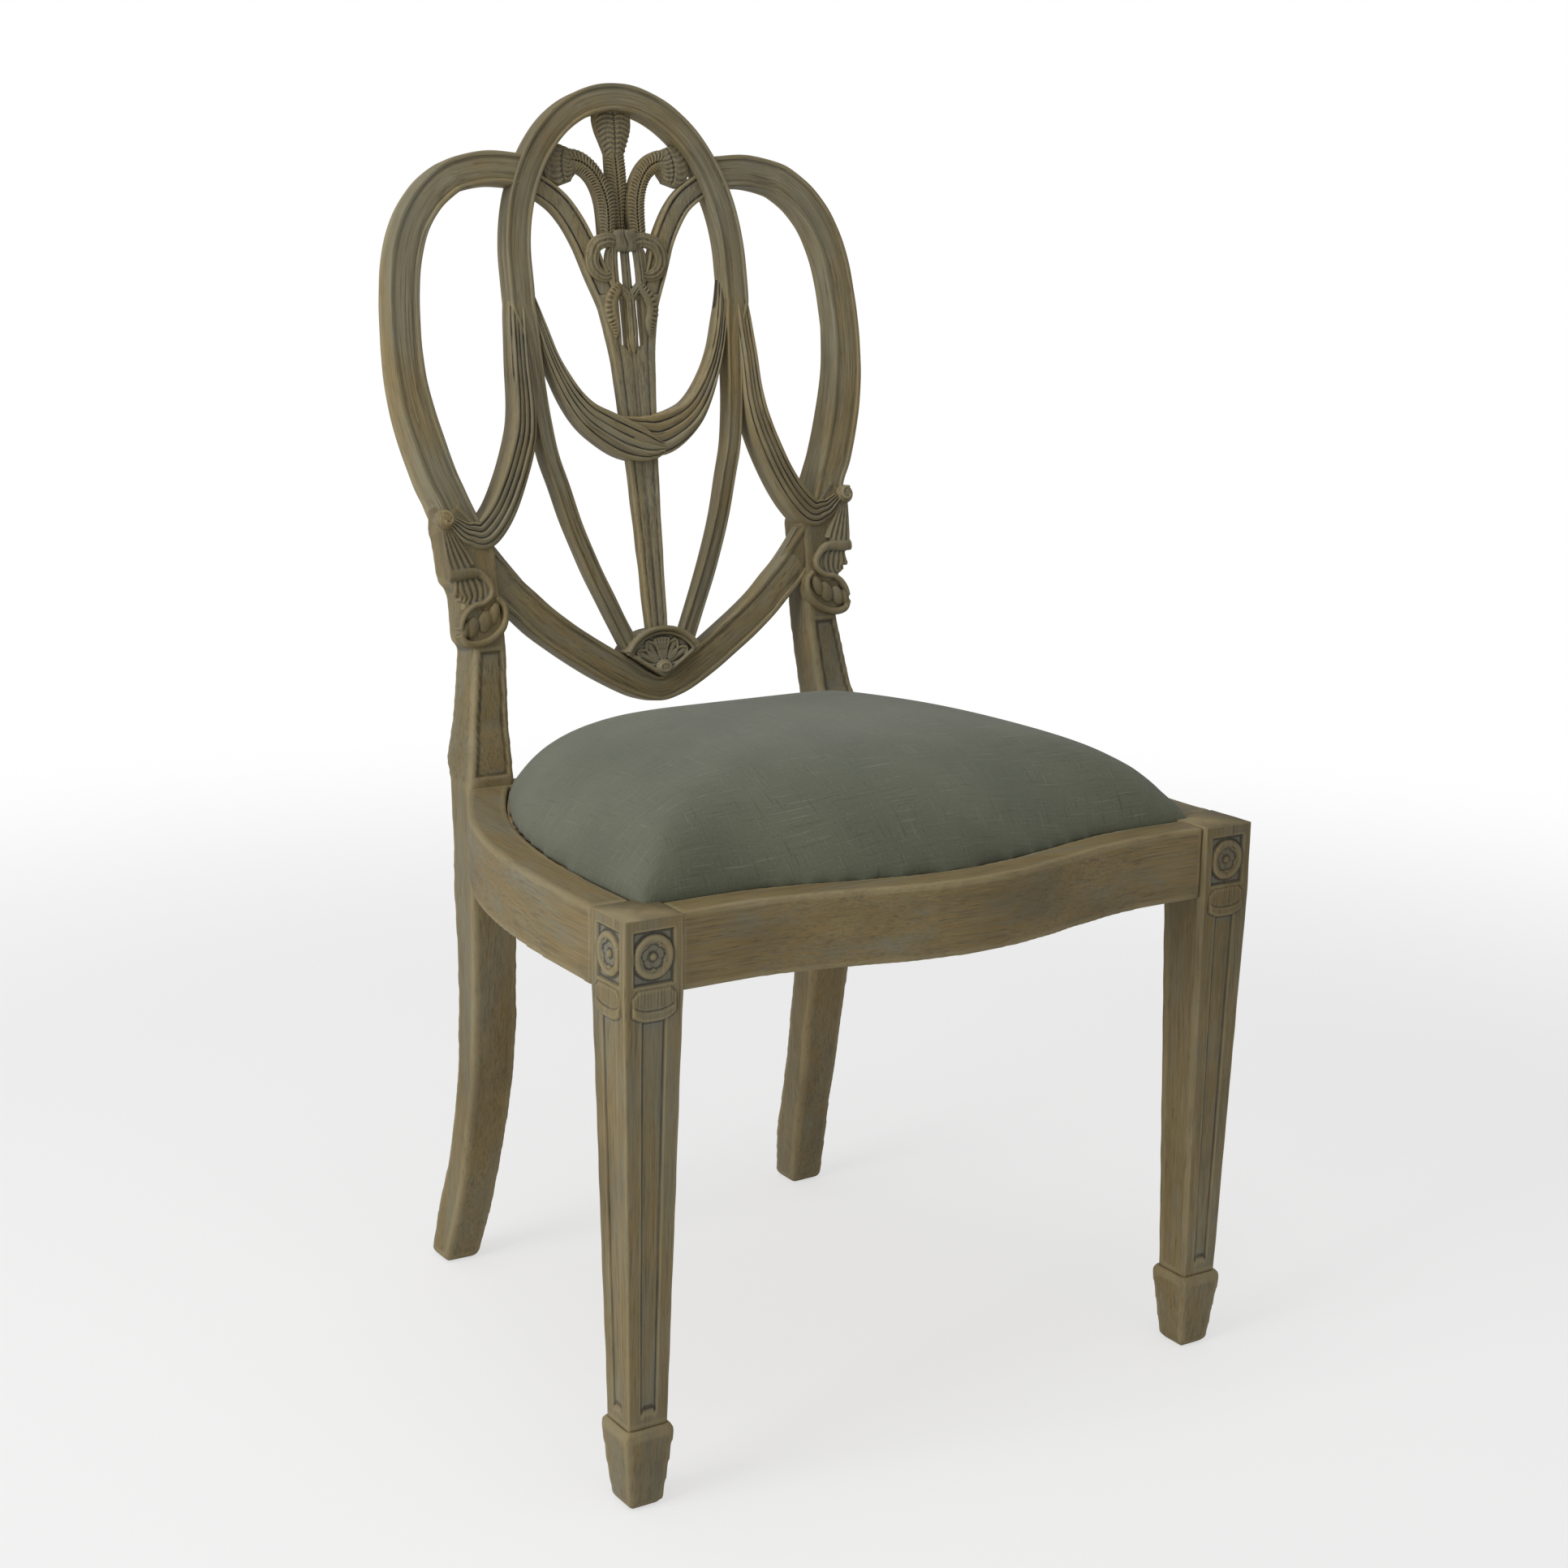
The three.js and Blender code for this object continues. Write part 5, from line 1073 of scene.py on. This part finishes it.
# Front legs: rings of points up a square post, pressed in where the two faces that show are carved.
# all of post, rosette, tablet and panel is in mm; u runs across a face and z is the height
post = {"x": 260.5, "y": -234.44, "half": 23.5, "ankle": 16, "toe": 8.5, "top": 446, "shoulder": 389,
        "collar": 66, "corner": 0.8, "show": 58, "plain": 12, "fine": 0.7, "coarse": 2.0}
rosette = {"up": 418.3, "half": 16.4, "rise": 19.6, "drop": 0.6, "sink": 2.4,
           "ring": 13.2, "ringHalf": 3.1, "ringIn": 2.6, "proud": 0.8, "flat": 0.5,
           "bowl": 8.3, "scallop": 1.2, "rim": 1.5, "dish": 1.0, "petals": 5, "vein": 0.35, "veinHalf": 1.3,
           "cut": 0.6, "cutHalf": 0.55, "boss": 3.0, "bossFoot": 2.3, "bossRise": 2.6}
tablet = {"low": 372, "high": 396, "half": 18, "lift": 1.0, "sag": 5.5, "flatTop": 12.5,
          "roll": 8, "rollRise": 0.9, "cut": 0.2, "cutUp": 1.05, "flute": 2.6, "fluteCut": 0.35}
panel = {"share": 0.41, "sink": 1.3, "foot": 75, "arch": 3, "bead": 0.4, "beadIn": 0.9, "beadHalf": 0.8}


def easedStep(value, low, high):
    t = np.clip((value - low) / (high - low), 0, 1)
    return t * t * (3 - 2 * t)


def rosetteSink(u, z):
    up = z - rosette["up"]
    radius, turn = np.hypot(u, up), np.arctan2(u, up)
    petal = np.abs(np.cos(rosette["petals"] / 2 * turn))
    bowl = rosette["bowl"] + rosette["scallop"] * petal
    ring = np.sqrt(np.clip(1 - ((radius - rosette["ring"]) / rosette["ringHalf"]) ** 2, 0, 1))
    sink = rosette["sink"] - (rosette["sink"] + rosette["proud"]) * ring
    vein = rosette["vein"] * np.exp(-(petal * radius / rosette["veinHalf"]) ** 2)
    dish = rosette["rim"] + rosette["dish"] * (1 - radius / bowl) + vein
    between = np.where(radius < rosette["ring"] - rosette["ringIn"], rosette["flat"], sink)
    sink = np.where(radius < bowl, dish, between)
    cut = rosette["cut"] * np.exp(-((radius - bowl) / rosette["cutHalf"]) ** 2)
    sink = sink + cut * (radius < rosette["ring"])
    dome = np.sqrt(np.clip(1 - (radius / rosette["boss"]) ** 2, 0, 1))
    sink = np.where(radius < rosette["boss"], rosette["bossFoot"] - rosette["bossRise"] * dome, sink)
    inside = np.minimum(rosette["half"] - np.abs(u),
                        rosette["rise"] - np.abs(z - rosette["up"] + rosette["drop"]))
    return sink * easedStep(inside, 0, 0.7)


def tabletFoot(u):  # its lower edge, curved
    return tablet["low"] + tablet["sag"] * (np.abs(u) / tablet["half"]) ** 3


def tabletSink(u, z):
    low = tabletFoot(u)
    high = tablet["high"] - np.clip(np.abs(u) - tablet["flatTop"], 0, None)
    inside = np.minimum(np.minimum(z - low, high - z), tablet["half"] - np.abs(u))
    up = (z - low) / tablet["roll"]
    roll = (tablet["rollRise"] * np.sqrt(np.clip(1 - (2 * up - 1) ** 2, 0, 1))
            - tablet["cut"] * np.exp(-((up - tablet["cutUp"]) / 0.09) ** 2))
    flutes = tablet["fluteCut"] * np.abs(np.cos(math.pi * u / tablet["flute"])) ** 6
    return -(tablet["lift"] + roll - flutes * easedStep(up, 1.2, 1.4)) * easedStep(inside, -0.2, 1.8)


def panelSink(u, z, half):
    wide = panel["share"] * half
    foot = panel["foot"] + panel["arch"] * (1 - np.clip(np.abs(u) / wide, 0, 1) ** 2)
    inside = np.minimum(wide - np.abs(u), z - foot)
    edge = panel["bead"] * np.exp(-((inside - panel["beadIn"]) / panel["beadHalf"]) ** 2)
    return (panel["sink"] * easedStep(inside, 0, 0.8) + edge * (inside > -0.5)) * (z < tabletFoot(u))


def postMesh():
    fine = np.arange(post["top"], tablet["low"] - 3, -post["fine"])
    coarse = np.arange(fine[-1] - post["fine"], post["collar"], -post["coarse"])
    levels = np.concatenate([fine, coarse, [post["collar"], 40, 0]])
    rings = []
    for z in levels:
        if z >= post["shoulder"]:
            half = post["half"]
        elif z > post["collar"]:
            share = (post["shoulder"] - z) / (post["shoulder"] - post["collar"])
            half = post["half"] + (post["ankle"] - post["half"]) * share
        else:
            half = post["toe"] + (post["ankle"] - post["toe"]) * z / post["collar"]
        reach = half - post["corner"]
        u = np.linspace(-reach, reach, post["show"])
        sink = np.zeros(len(u))
        if z > post["collar"]:
            sink = rosetteSink(u, z) + tabletSink(u, z) + panelSink(u, z, half)
        plain = np.linspace(-reach, reach, post["plain"])
        away = np.full(len(plain), half)
        rings += [np.stack([u, -half + sink], 1), np.stack([half - sink, u], 1), np.stack([-plain, away], 1),
                  np.stack([-away, -plain], 1)]
    around = 2 * (post["show"] + post["plain"])
    flat = np.vstack(rings)
    heights = np.repeat(levels, around)
    points = np.column_stack([flat[:, 0] + post["x"], flat[:, 1] + post["y"], heights]) * mm
    faces = []
    for ring in range(len(levels) - 1):
        base = ring * around
        for i in range(around):
            j = (i + 1) % around
            faces.append((base + i, base + around + i, base + around + j, base + j))
    faces += [tuple(range(around)), tuple(range((len(levels) - 1) * around, len(levels) * around))[::-1]]
    mesh = meshFrom("carved post", points, faces)
    outward(mesh)
    return mesh


def roundedFoot(mesh):  # worn round where it stands on the floor
    depth, inset = worn["depth"], worn["inset"]
    points = pointsOf(mesh)
    low = points[:, 2] < depth
    centre = np.array([*((points[low].min(0) + points[low].max(0)) / 2)[:2], 0])
    pull = (inset * np.clip(1 - points[:, 2] / depth, 0, 1) ** 2)[:, None] * low[:, None]
    setPoints(mesh, points - (points - centre) * pull * [1, 1, 0])


frontRight = shownObject("front leg right wood", postMesh())
markGrain(frontRight.data, up, right, 21)
carved(frontRight, 21)
dress(frontRight, legFinish, ["front_leg_right"])
leftTwin(frontRight, "front leg left wood", 3, legFinish, "front_leg_left")
spadeRight = framePiece("spade foot right wood", "spade_foot_right", up, right, 21, legFinish)
roundedFoot(spadeRight.data)
leftTwin(spadeRight, "spade foot left wood", 3, legFinish, "spade_foot_left")
# Rear legs: the bare leg, with a pleated ribbon drop and the end of the shield's moulding laid on it.
# rows: across, up, width and depth of the face, in mm, in the plane of the back
drop = {"voxel": 0.76 * mm, "low": 95 * mm, "high": 232 * mm, "back": 9 * mm, "edge": 200 * mm}
rearLeg = {
    "voxel": 1.7 * mm, "softening": 9,
    "pressed": 0.4 * mm, "side": 198 * mm,                         # the band that the drop is laid on
    "headFrom": 215 * mm, "headFace": 2.5 * mm, "headBack": 33 * mm,
    "headIn": 174 * mm, "headUp": 236 * mm, "headSlope": 0.42,     # inner edge of its head
    "hollow": 1.1 * mm, "hollowFoot": 6 * mm, "hollowTop": 109 * mm,
    "edgeBead": 2.8, "bevel": 1.6, "groove": 3.8,                  # in mm from the edge
}
bellRows = [(196, 216, 9, -1.5), (195, 208, 12, -2), (192, 197, 18, -2.6), (188.5, 186, 24, -3.2),
            (185.5, 177, 27, -3.6)]
hemRows = [(199, 173, 9, -4.4), (190, 173.2, 9.5, -4.8), (180, 173.8, 9, -4.8), (172, 173, 7.5, -4.6),
           (165.5, 168.5, 6, -4.4), (160.8, 161, 5.5, -4.2), (162, 154, 5, -4.2), (169, 148.5, 5, -4.4),
           (178, 146.5, 5, -4.6), (185, 142, 5, -4.6), (190, 135, 4.5, -4.4), (192, 128, 4, -4)]
innerRows = [(183, 172, 22, -1.6), (179, 162, 34, -2.0), (178, 154, 30, -2.0), (182, 147, 20, -1.6)]
rollRows = [(157, 152, 4, -3), (151, 146, 5, -3.4), (149.5, 138, 5.5, -3.6), (153, 127.5, 6, -3.8),
            (163, 119, 6.5, -4), (176, 115, 6.5, -4), (188, 117, 5.5, -3.8), (192.5, 124, 4.5, -3.4)]
jointRows = [(0.612, 0.1975, 1), (0.66, 0.222, 1), (0.725, 0.256, 1), (0.79, 0.2925, 0.97),
             (0.85, 0.325, 0.9)]
dropBalls = [(181, 129, 6, 3.5, 9), (169, 133, 6.5, 3.5, 9.5), (160, 139, 5, 3.5, 9.5), (189, 126, 4, 3.5, 8)]


def pleats(shares, count, depth, turn=0.0):
    return depth * (0.5 + 0.5 * np.cos(2 * math.pi * count * (shares + 0.5) + turn)) ** 1.5


def bellRelief(shares, along):
    return pleats(shares, 5, 1.5) + 1.6 * np.abs(2 * shares) ** 5


def hemRelief(shares, along):
    return 2.2 * np.abs(2 * shares) ** 3


def innerRelief(shares, along):
    return pleats(shares, 6, 1.4, 1) + 1.2 * np.abs(2 * shares) ** 5


def dropMesh():
    parts = []
    for rows, shape in ((bellRows, bellRelief), (hemRows, hemRelief), (innerRows, innerRelief),
                        (rollRows, hemRelief)):
        parts.append(strand(rows, drop["back"], foldFace if shape is bellRelief else stemFace, shape)[1])
    for x, v, wide, thick, high in dropBalls:
        parts.append(ball((x * mm, 0, v * mm), (wide * mm, thick * mm, high * mm), 0.3))
    piece = remeshed(shownObject("drop", joinedShape(parts)), drop["voxel"], 1)
    points = pointsOf(piece.data)
    points[:, 0] = np.minimum(points[:, 0], drop["edge"])
    setPoints(piece.data, points)
    markGrain(piece.data, up, right, 24)
    placed(piece)
    mesh = piece.data
    bpy.data.objects.remove(piece)
    return mesh


def bareLeg():  # the leg with its drop pressed flat
    mesh = copyOf("rear_leg_right")
    points = pointsOf(mesh)
    unleaning = np.array(leaning.inverted())
    flat = np.column_stack([points, np.ones(len(points))]) @ unleaning.T
    carvedBand = (flat[:, 2] > drop["low"]) & (flat[:, 2] < drop["high"])
    flat[:, 1] = np.where(carvedBand, np.maximum(flat[:, 1], rearLeg["pressed"]), flat[:, 1])
    flat[:, 0] = np.where(carvedBand, np.minimum(flat[:, 0], rearLeg["side"]), flat[:, 0])
    head = flat[:, 2] > rearLeg["headFrom"]  # its head lies inside the foot of the lobe
    slope = rearLeg["headIn"] + rearLeg["headSlope"] * (flat[:, 2] - rearLeg["headUp"])
    flat[:, 0] = np.where(head, np.maximum(flat[:, 0], slope), flat[:, 0])
    flat[:, 1] = np.where(head, np.clip(flat[:, 1], rearLeg["headFace"], rearLeg["headBack"]), flat[:, 1])
    setPoints(mesh, (flat @ np.array(leaning).T)[:, :3])
    return mesh


def hollowed(mesh):  # a shallow hollow between two edge beads, from the seat to the drop
    lean = np.array(leaning)[:3, :3]
    points, normals = pointsOf(mesh), normalsOf(mesh)
    flat = (points - np.array(leaning)[:3, 3]) @ lean
    facing = (normals @ lean)[:, 1] < -0.8
    band = facing & (flat[:, 2] > rearLeg["hollowFoot"]) & (flat[:, 2] < rearLeg["hollowTop"])
    across, height = flat[band, 0], flat[band, 2]
    levels = np.round(height / (4 * mm)).astype(int)
    rows = [levels == level for level in np.unique(levels)]
    middles = [height[row].mean() for row in rows]
    leftEdge = np.polyval(np.polyfit(middles, [across[row].min() for row in rows], 3), height)
    rightEdge = np.polyval(np.polyfit(middles, [across[row].max() for row in rows], 3), height)
    inside = np.minimum(across - leftEdge, rightEdge - across) / mm
    sink = (np.clip((inside - rearLeg["edgeBead"]) / rearLeg["bevel"], 0, 1)
            + 0.5 * np.exp(-((inside - rearLeg["groove"]) / 0.8) ** 2))
    points[band] += sink[:, None] * rearLeg["hollow"] * lean[:, 1]
    setPoints(mesh, points)


rearRight = shownObject("rear leg right wood", bareLeg())
remeshed(rearRight, rearLeg["voxel"], rearLeg["softening"])
hollowed(rearRight.data)
roundedFoot(rearRight.data)
markGrain(rearRight.data, up, right, 23)


railEnd = {"back": 12 * mm, "sunk": 0.3 * mm, "rise": 1.4 * mm, "riseFrom": 138, "riseOver": 24}


def jointFace(x, share):  # level with the rail at first, then proud of the leg
    risen = min(max((x / mm - railEnd["riseFrom"]) / railEnd["riseOver"], 0), 1)
    return dishAt(x) + railEnd["sunk"] - railEnd["rise"] * risen


jointRun = line(jointRows, shield["railWidth"], jointFace, lambda x, s: railEnd["back"])
jointPiece = placed(moulded("rail end", jointRun, beads, legFinish, 22))
rearRight.data = joinedShape([rearRight.data, jointPiece.data, dropMesh()])
bpy.data.objects.remove(jointPiece)
carved(rearRight, 23)
dress(rearRight, legFinish, ["rear_leg_right"])
leftTwin(rearRight, "rear leg left wood", 4, legFinish, "rear_leg_left")
framePiece("front rail wood", "front_seat_rail", right, up, 25, frameFinish)
sideRight = framePiece("side rail right wood", "side_seat_rail_right", deep, up, 26, frameFinish)
leftTwin(sideRight, "side rail left wood", 5, frameFinish, "side_seat_rail_left")
framePiece("rear rail wood", "rear_seat_rail", right, up, 28, frameFinish)
print("legs and rails made")


# Blocks, board and screws.
def sawnWood(tree, colour, scales):
    place = put(tree, "ShaderNodeTexCoord").outputs["Object"]
    figure = noiseOf(tree, stretched(tree, place, scales), 1, 5, 0.6, 0.3)
    fibres = noiseOf(tree, stretched(tree, place, tuple(8 * s for s in scales)), 1, 2, 0.5)
    dark = tuple(c * 0.55 for c in colour)
    return {
        "Base Color": blendOf(tree, spread(tree, figure, 0.4, 0.7), colour, dark),
        "Roughness": spread(tree, fibres, 0.2, 0.8, 0.7, 0.9),
        "Normal": bumpOf(tree, fibres, 0.3, 0.5 * mm),
    }


def zincPlate(tree):
    clouds = noiseOf(tree, put(tree, "ShaderNodeTexCoord").outputs["Object"], 900, 3, 0.6)
    return {
        "Base Color": blendOf(tree, spread(tree, clouds, 0.3, 0.7), linear(190, 187, 176),
                              linear(150, 146, 134)),
        "Roughness": spread(tree, clouds, 0.3, 0.7, 0.3, 0.5),
        "Metallic": 0.9,
    }


blockFinish = finishFrom("sawn block wood", lambda tree: sawnWood(tree, linear(196, 160, 112), (8, 90, 90)))
boardFinish = finishFrom("plywood board", lambda tree: sawnWood(tree, linear(206, 176, 130), (90, 8, 90)))
zincFinish = finishFrom("zinc plate", zincPlate)
for word, finish in (("corner_block", blockFinish), ("seat_board", boardFinish), ("screw", zincFinish)):
    for node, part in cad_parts.items():
        if word in node:
            part.data.materials.clear()
            part.data.materials.append(finish)
print("inner parts finished")

# Cushion.
cushion = {
    "voxel": 5.2 * mm, "spread": 1.004, "softened": 16,
    "pinned": 26 * mm, "leastPull": 0.08,           # the cloth is held to the board over this height
    "pressure": 4.0, "frames": 20, "quality": 6, "mass": 0.3, "stretch": 20, "bend": 1.0,
    "cap": 3 * mm, "crownRoom": 0.5 * mm,           # how far the filling may move the cloth
    "thread": 0.9 * mm, "sideWeave": 0.6, "fill": 0.7,
}


def linenCloth(tree):
    weave = put(tree, "ShaderNodeAttribute", attribute_name="weave").outputs["Vector"]
    parts = put(tree, "ShaderNodeSeparateXYZ", {0: weave}).outputs
    thread = 2 * math.pi / cushion["thread"]
    warp = maths(tree, "SINE", maths(tree, "MULTIPLY", parts[0], thread))
    weft = maths(tree, "SINE", maths(tree, "MULTIPLY", parts[1], thread))
    cloth = maths(tree, "MULTIPLY", warp, weft)
    slubsA = noiseOf(tree, stretched(tree, weave, (22, 480, 1)), 1, 3, 0.6)
    slubsB = noiseOf(tree, stretched(tree, weave, (480, 22, 1), (3, 5, 0)), 1, 3, 0.6)
    clouds = noiseOf(tree, weave, 9, 3, 0.5)
    specks = noiseOf(tree, weave, 520, 2, 0.6)
    colour = blendOf(tree, spread(tree, clouds, 0.3, 0.7), linear(97, 101, 83), linear(108, 111, 92))
    slub = maths(tree, "MAXIMUM", spread(tree, slubsA, 0.58, 0.75), spread(tree, slubsB, 0.6, 0.78))
    colour = blendOf(tree, maths(tree, "MULTIPLY", slub, 0.62), colour, linear(138, 140, 124))
    thin = maths(tree, "MAXIMUM", spread(tree, slubsA, 0.42, 0.28), spread(tree, slubsB, 0.42, 0.28))
    colour = blendOf(tree, maths(tree, "MULTIPLY", thin, 0.62), colour, linear(78, 82, 68))
    colour = blendOf(tree, maths(tree, "MULTIPLY", spread(tree, specks, 0.60, 0.74), 0.55), colour,
                     linear(60, 62, 50))
    colour = blendOf(tree, maths(tree, "MULTIPLY", spread(tree, specks, 0.40, 0.28), 0.4), colour,
                     linear(138, 141, 124))
    height = maths(tree, "ADD", maths(tree, "MULTIPLY", cloth, 0.5), maths(tree, "MULTIPLY", slub, 0.8))
    return {
        "Base Color": scaled(tree, colour, spread(tree, cloth, -1, 1, 0.9, 1.08, "LINEAR")),
        "Roughness": 0.92,
        "Specular IOR Level": 0.2,
        "Sheen Weight": 0.25,
        "Sheen Roughness": 0.5,
        "Normal": bumpOf(tree, height, 0.5, 0.3 * mm),
    }


low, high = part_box("seat_cushion")
centre = (low + high) / 2
low, high = np.array(low), np.array(high)
pad = shownObject("linen cushion", copyOf("seat_cushion"))
setPoints(pad.data, (pointsOf(pad.data) - centre) * [cushion["spread"], cushion["spread"], 1] + centre)
remeshed(pad, cushion["voxel"], 1)
rest = pointsOf(pad.data)
cloth = pad.modifiers.new("filling", "CLOTH")
settings = cloth.settings
settings.quality = cushion["quality"]
settings.mass = cushion["mass"]
settings.tension_stiffness = cushion["stretch"]
settings.compression_stiffness = cushion["stretch"]
settings.bending_stiffness = cushion["bend"]
settings.use_pressure = True
settings.uniform_pressure_force = cushion["pressure"]
settings.effector_weights.gravity = 0
for step in range(1, cushion["frames"] + 1):
    bpy.context.scene.frame_set(step)
evaluated(pad)
bpy.context.scene.frame_set(1)
moved = pointsOf(pad.data) - rest
far = np.linalg.norm(moved, axis=1)[:, None]
moved *= np.minimum(1, cushion["cap"] / np.maximum(far, 1e-9))
# the cloth is tacked to the board at its foot
hold = np.clip((rest[:, 2] - low[2]) / cushion["pinned"], 0, 1)[:, None]
setPoints(pad.data, rest + moved * hold)
print("cushion filled, furthest point moved", round(float(far.max() / mm), 1), "mm")
points = pointsOf(pad.data)
points = np.clip(points, low, high + [0, 0, cushion["crownRoom"]])
soft = averaged(points, edgesOf(pad.data), cushion["softened"])
hold = np.clip((points[:, 2] - low[2]) / cushion["pinned"], cushion["leastPull"], 1)[:, None]
setPoints(pad.data, points + (soft - points) * hold)
pad.modifiers.new("round", "SUBSURF").levels = 1
pad.modifiers["round"].render_levels = 1
evaluated(pad)
points, normals = pointsOf(pad.data), normalsOf(pad.data)
# the weave runs on over the edge and down the sides
fallen = np.clip(high[2] - points[:, 2], 0, None)[:, None] * cushion["sideWeave"]
store(pad.data, "weave", (points + normals * fallen) * [1, 1, 0])
dress(pad, finishFrom("grey-green linen", linenCloth), ["seat_cushion"])
print("cushion made")

for piece in (beads, columnSection):  # they were only drawn to be followed
    bpy.data.objects.remove(piece)

# Floor, lights and camera.
# Seen by the camera, the floor fades to white away from the chair; the chair's light falls on plain grey.
studio = {"floor": 9.0, "grey": 0.9, "clear": 0.62, "clearFrom": 0.9, "clearTo": 2.4, "ambient": 0.36,
          "lampAim": (0, 0, 0.5)}


def paleFloor(tree):
    place = put(tree, "ShaderNodeTexCoord").outputs["Object"]
    distance = put(tree, "ShaderNodeVectorMath", {0: place}, operation="LENGTH").outputs["Value"]
    fade = spread(tree, distance, studio["clearFrom"], studio["clearTo"], studio["clear"], 1.0)
    cameraRay = put(tree, "ShaderNodeLightPath").outputs["Is Camera Ray"]
    glow = put(tree, "ShaderNodeEmission", {"Color": (1, 1, 1, 1), "Strength": 1.0}).outputs[0]
    plain = tree.nodes["Principled BSDF"].outputs[0]
    mixed = put(tree, "ShaderNodeMixShader", {
        0: maths(tree, "MULTIPLY", fade, cameraRay), 1: plain, 2: glow}).outputs[0]
    feed(tree, tree.nodes["Material Output"].inputs["Surface"], mixed)
    return {"Base Color": (*[studio["grey"]] * 3, 1), "Roughness": 0.8}


shape = bmesh.new()
bmesh.ops.create_grid(shape, x_segments=8, y_segments=8, size=studio["floor"])
floorMesh = bpy.data.meshes.new("floor")
shape.to_mesh(floorMesh)
shape.free()
floorMesh.materials.append(finishFrom("pale floor", paleFloor))
shownObject("studio floor", floorMesh)

world = bpy.data.worlds.new("studio")
bpy.context.scene.world = world
world.use_nodes = True
sky = world.node_tree
sky.nodes.clear()
rays = put(sky, "ShaderNodeLightPath").outputs
seen = maths(sky, "ADD", rays["Is Camera Ray"], rays["Is Transmission Ray"], True)
strength = maths(sky, "ADD", studio["ambient"], maths(sky, "MULTIPLY", seen, 1 - studio["ambient"]))
ambient = put(sky, "ShaderNodeBackground", {"Color": (1, 1, 1, 1), "Strength": strength}).outputs[0]
put(sky, "ShaderNodeOutputWorld", {"Surface": ambient})


def softLight(name, place, size, power):
    light = bpy.data.lights.new(name, "AREA")
    light.shape = "SQUARE"
    light.size = size
    light.energy = power
    lamp = bpy.data.objects.new(name, light)
    bpy.context.scene.collection.objects.link(lamp)
    lamp.location = place
    aim = Vector(studio["lampAim"]) - Vector(place)
    lamp.rotation_euler = aim.to_track_quat("-Z", "Y").to_euler()


softLight("window", (-3.2, -0.4, 1.7), 1.6, 52)
softLight("overhead", (-0.5, -0.3, 3.2), 1.8, 20)
softLight("front fill", (0.6, -3.4, 1.3), 1.8, 4)

view = {"place": (-1.1080, -1.4751 + frontFace, 0.9403), "yaw": math.radians(32.81),
        "pitch": math.radians(-13.22), "roll": math.radians(0.77), "focalPixels": 3197.9,
        "framePixels": 1932, "sensor": 36}
cameraData = bpy.data.cameras.new("photo camera")
cameraData.sensor_width = view["sensor"]
cameraData.lens = view["focalPixels"] / view["framePixels"] * view["sensor"]
cameraData.clip_start = 0.05
camera = bpy.data.objects.new("photo camera", cameraData)
bpy.context.scene.collection.objects.link(camera)
level = math.cos(view["pitch"])
ahead = Vector((math.sin(view["yaw"]) * level, math.cos(view["yaw"]) * level, math.sin(view["pitch"])))
sideways = ahead.cross(Vector((0, 0, 1))).normalized()
upwards = sideways.cross(ahead)
rolledSide = sideways * math.cos(view["roll"]) + upwards * math.sin(view["roll"])
rolledUp = upwards * math.cos(view["roll"]) - sideways * math.sin(view["roll"])
turn = Matrix((rolledSide, rolledUp, -ahead)).transposed().to_4x4()
camera.matrix_world = Matrix.Translation(view["place"]) @ turn
bpy.context.scene.camera = camera
bpy.context.scene.view_settings.view_transform = "Standard"
print("camera and light set")
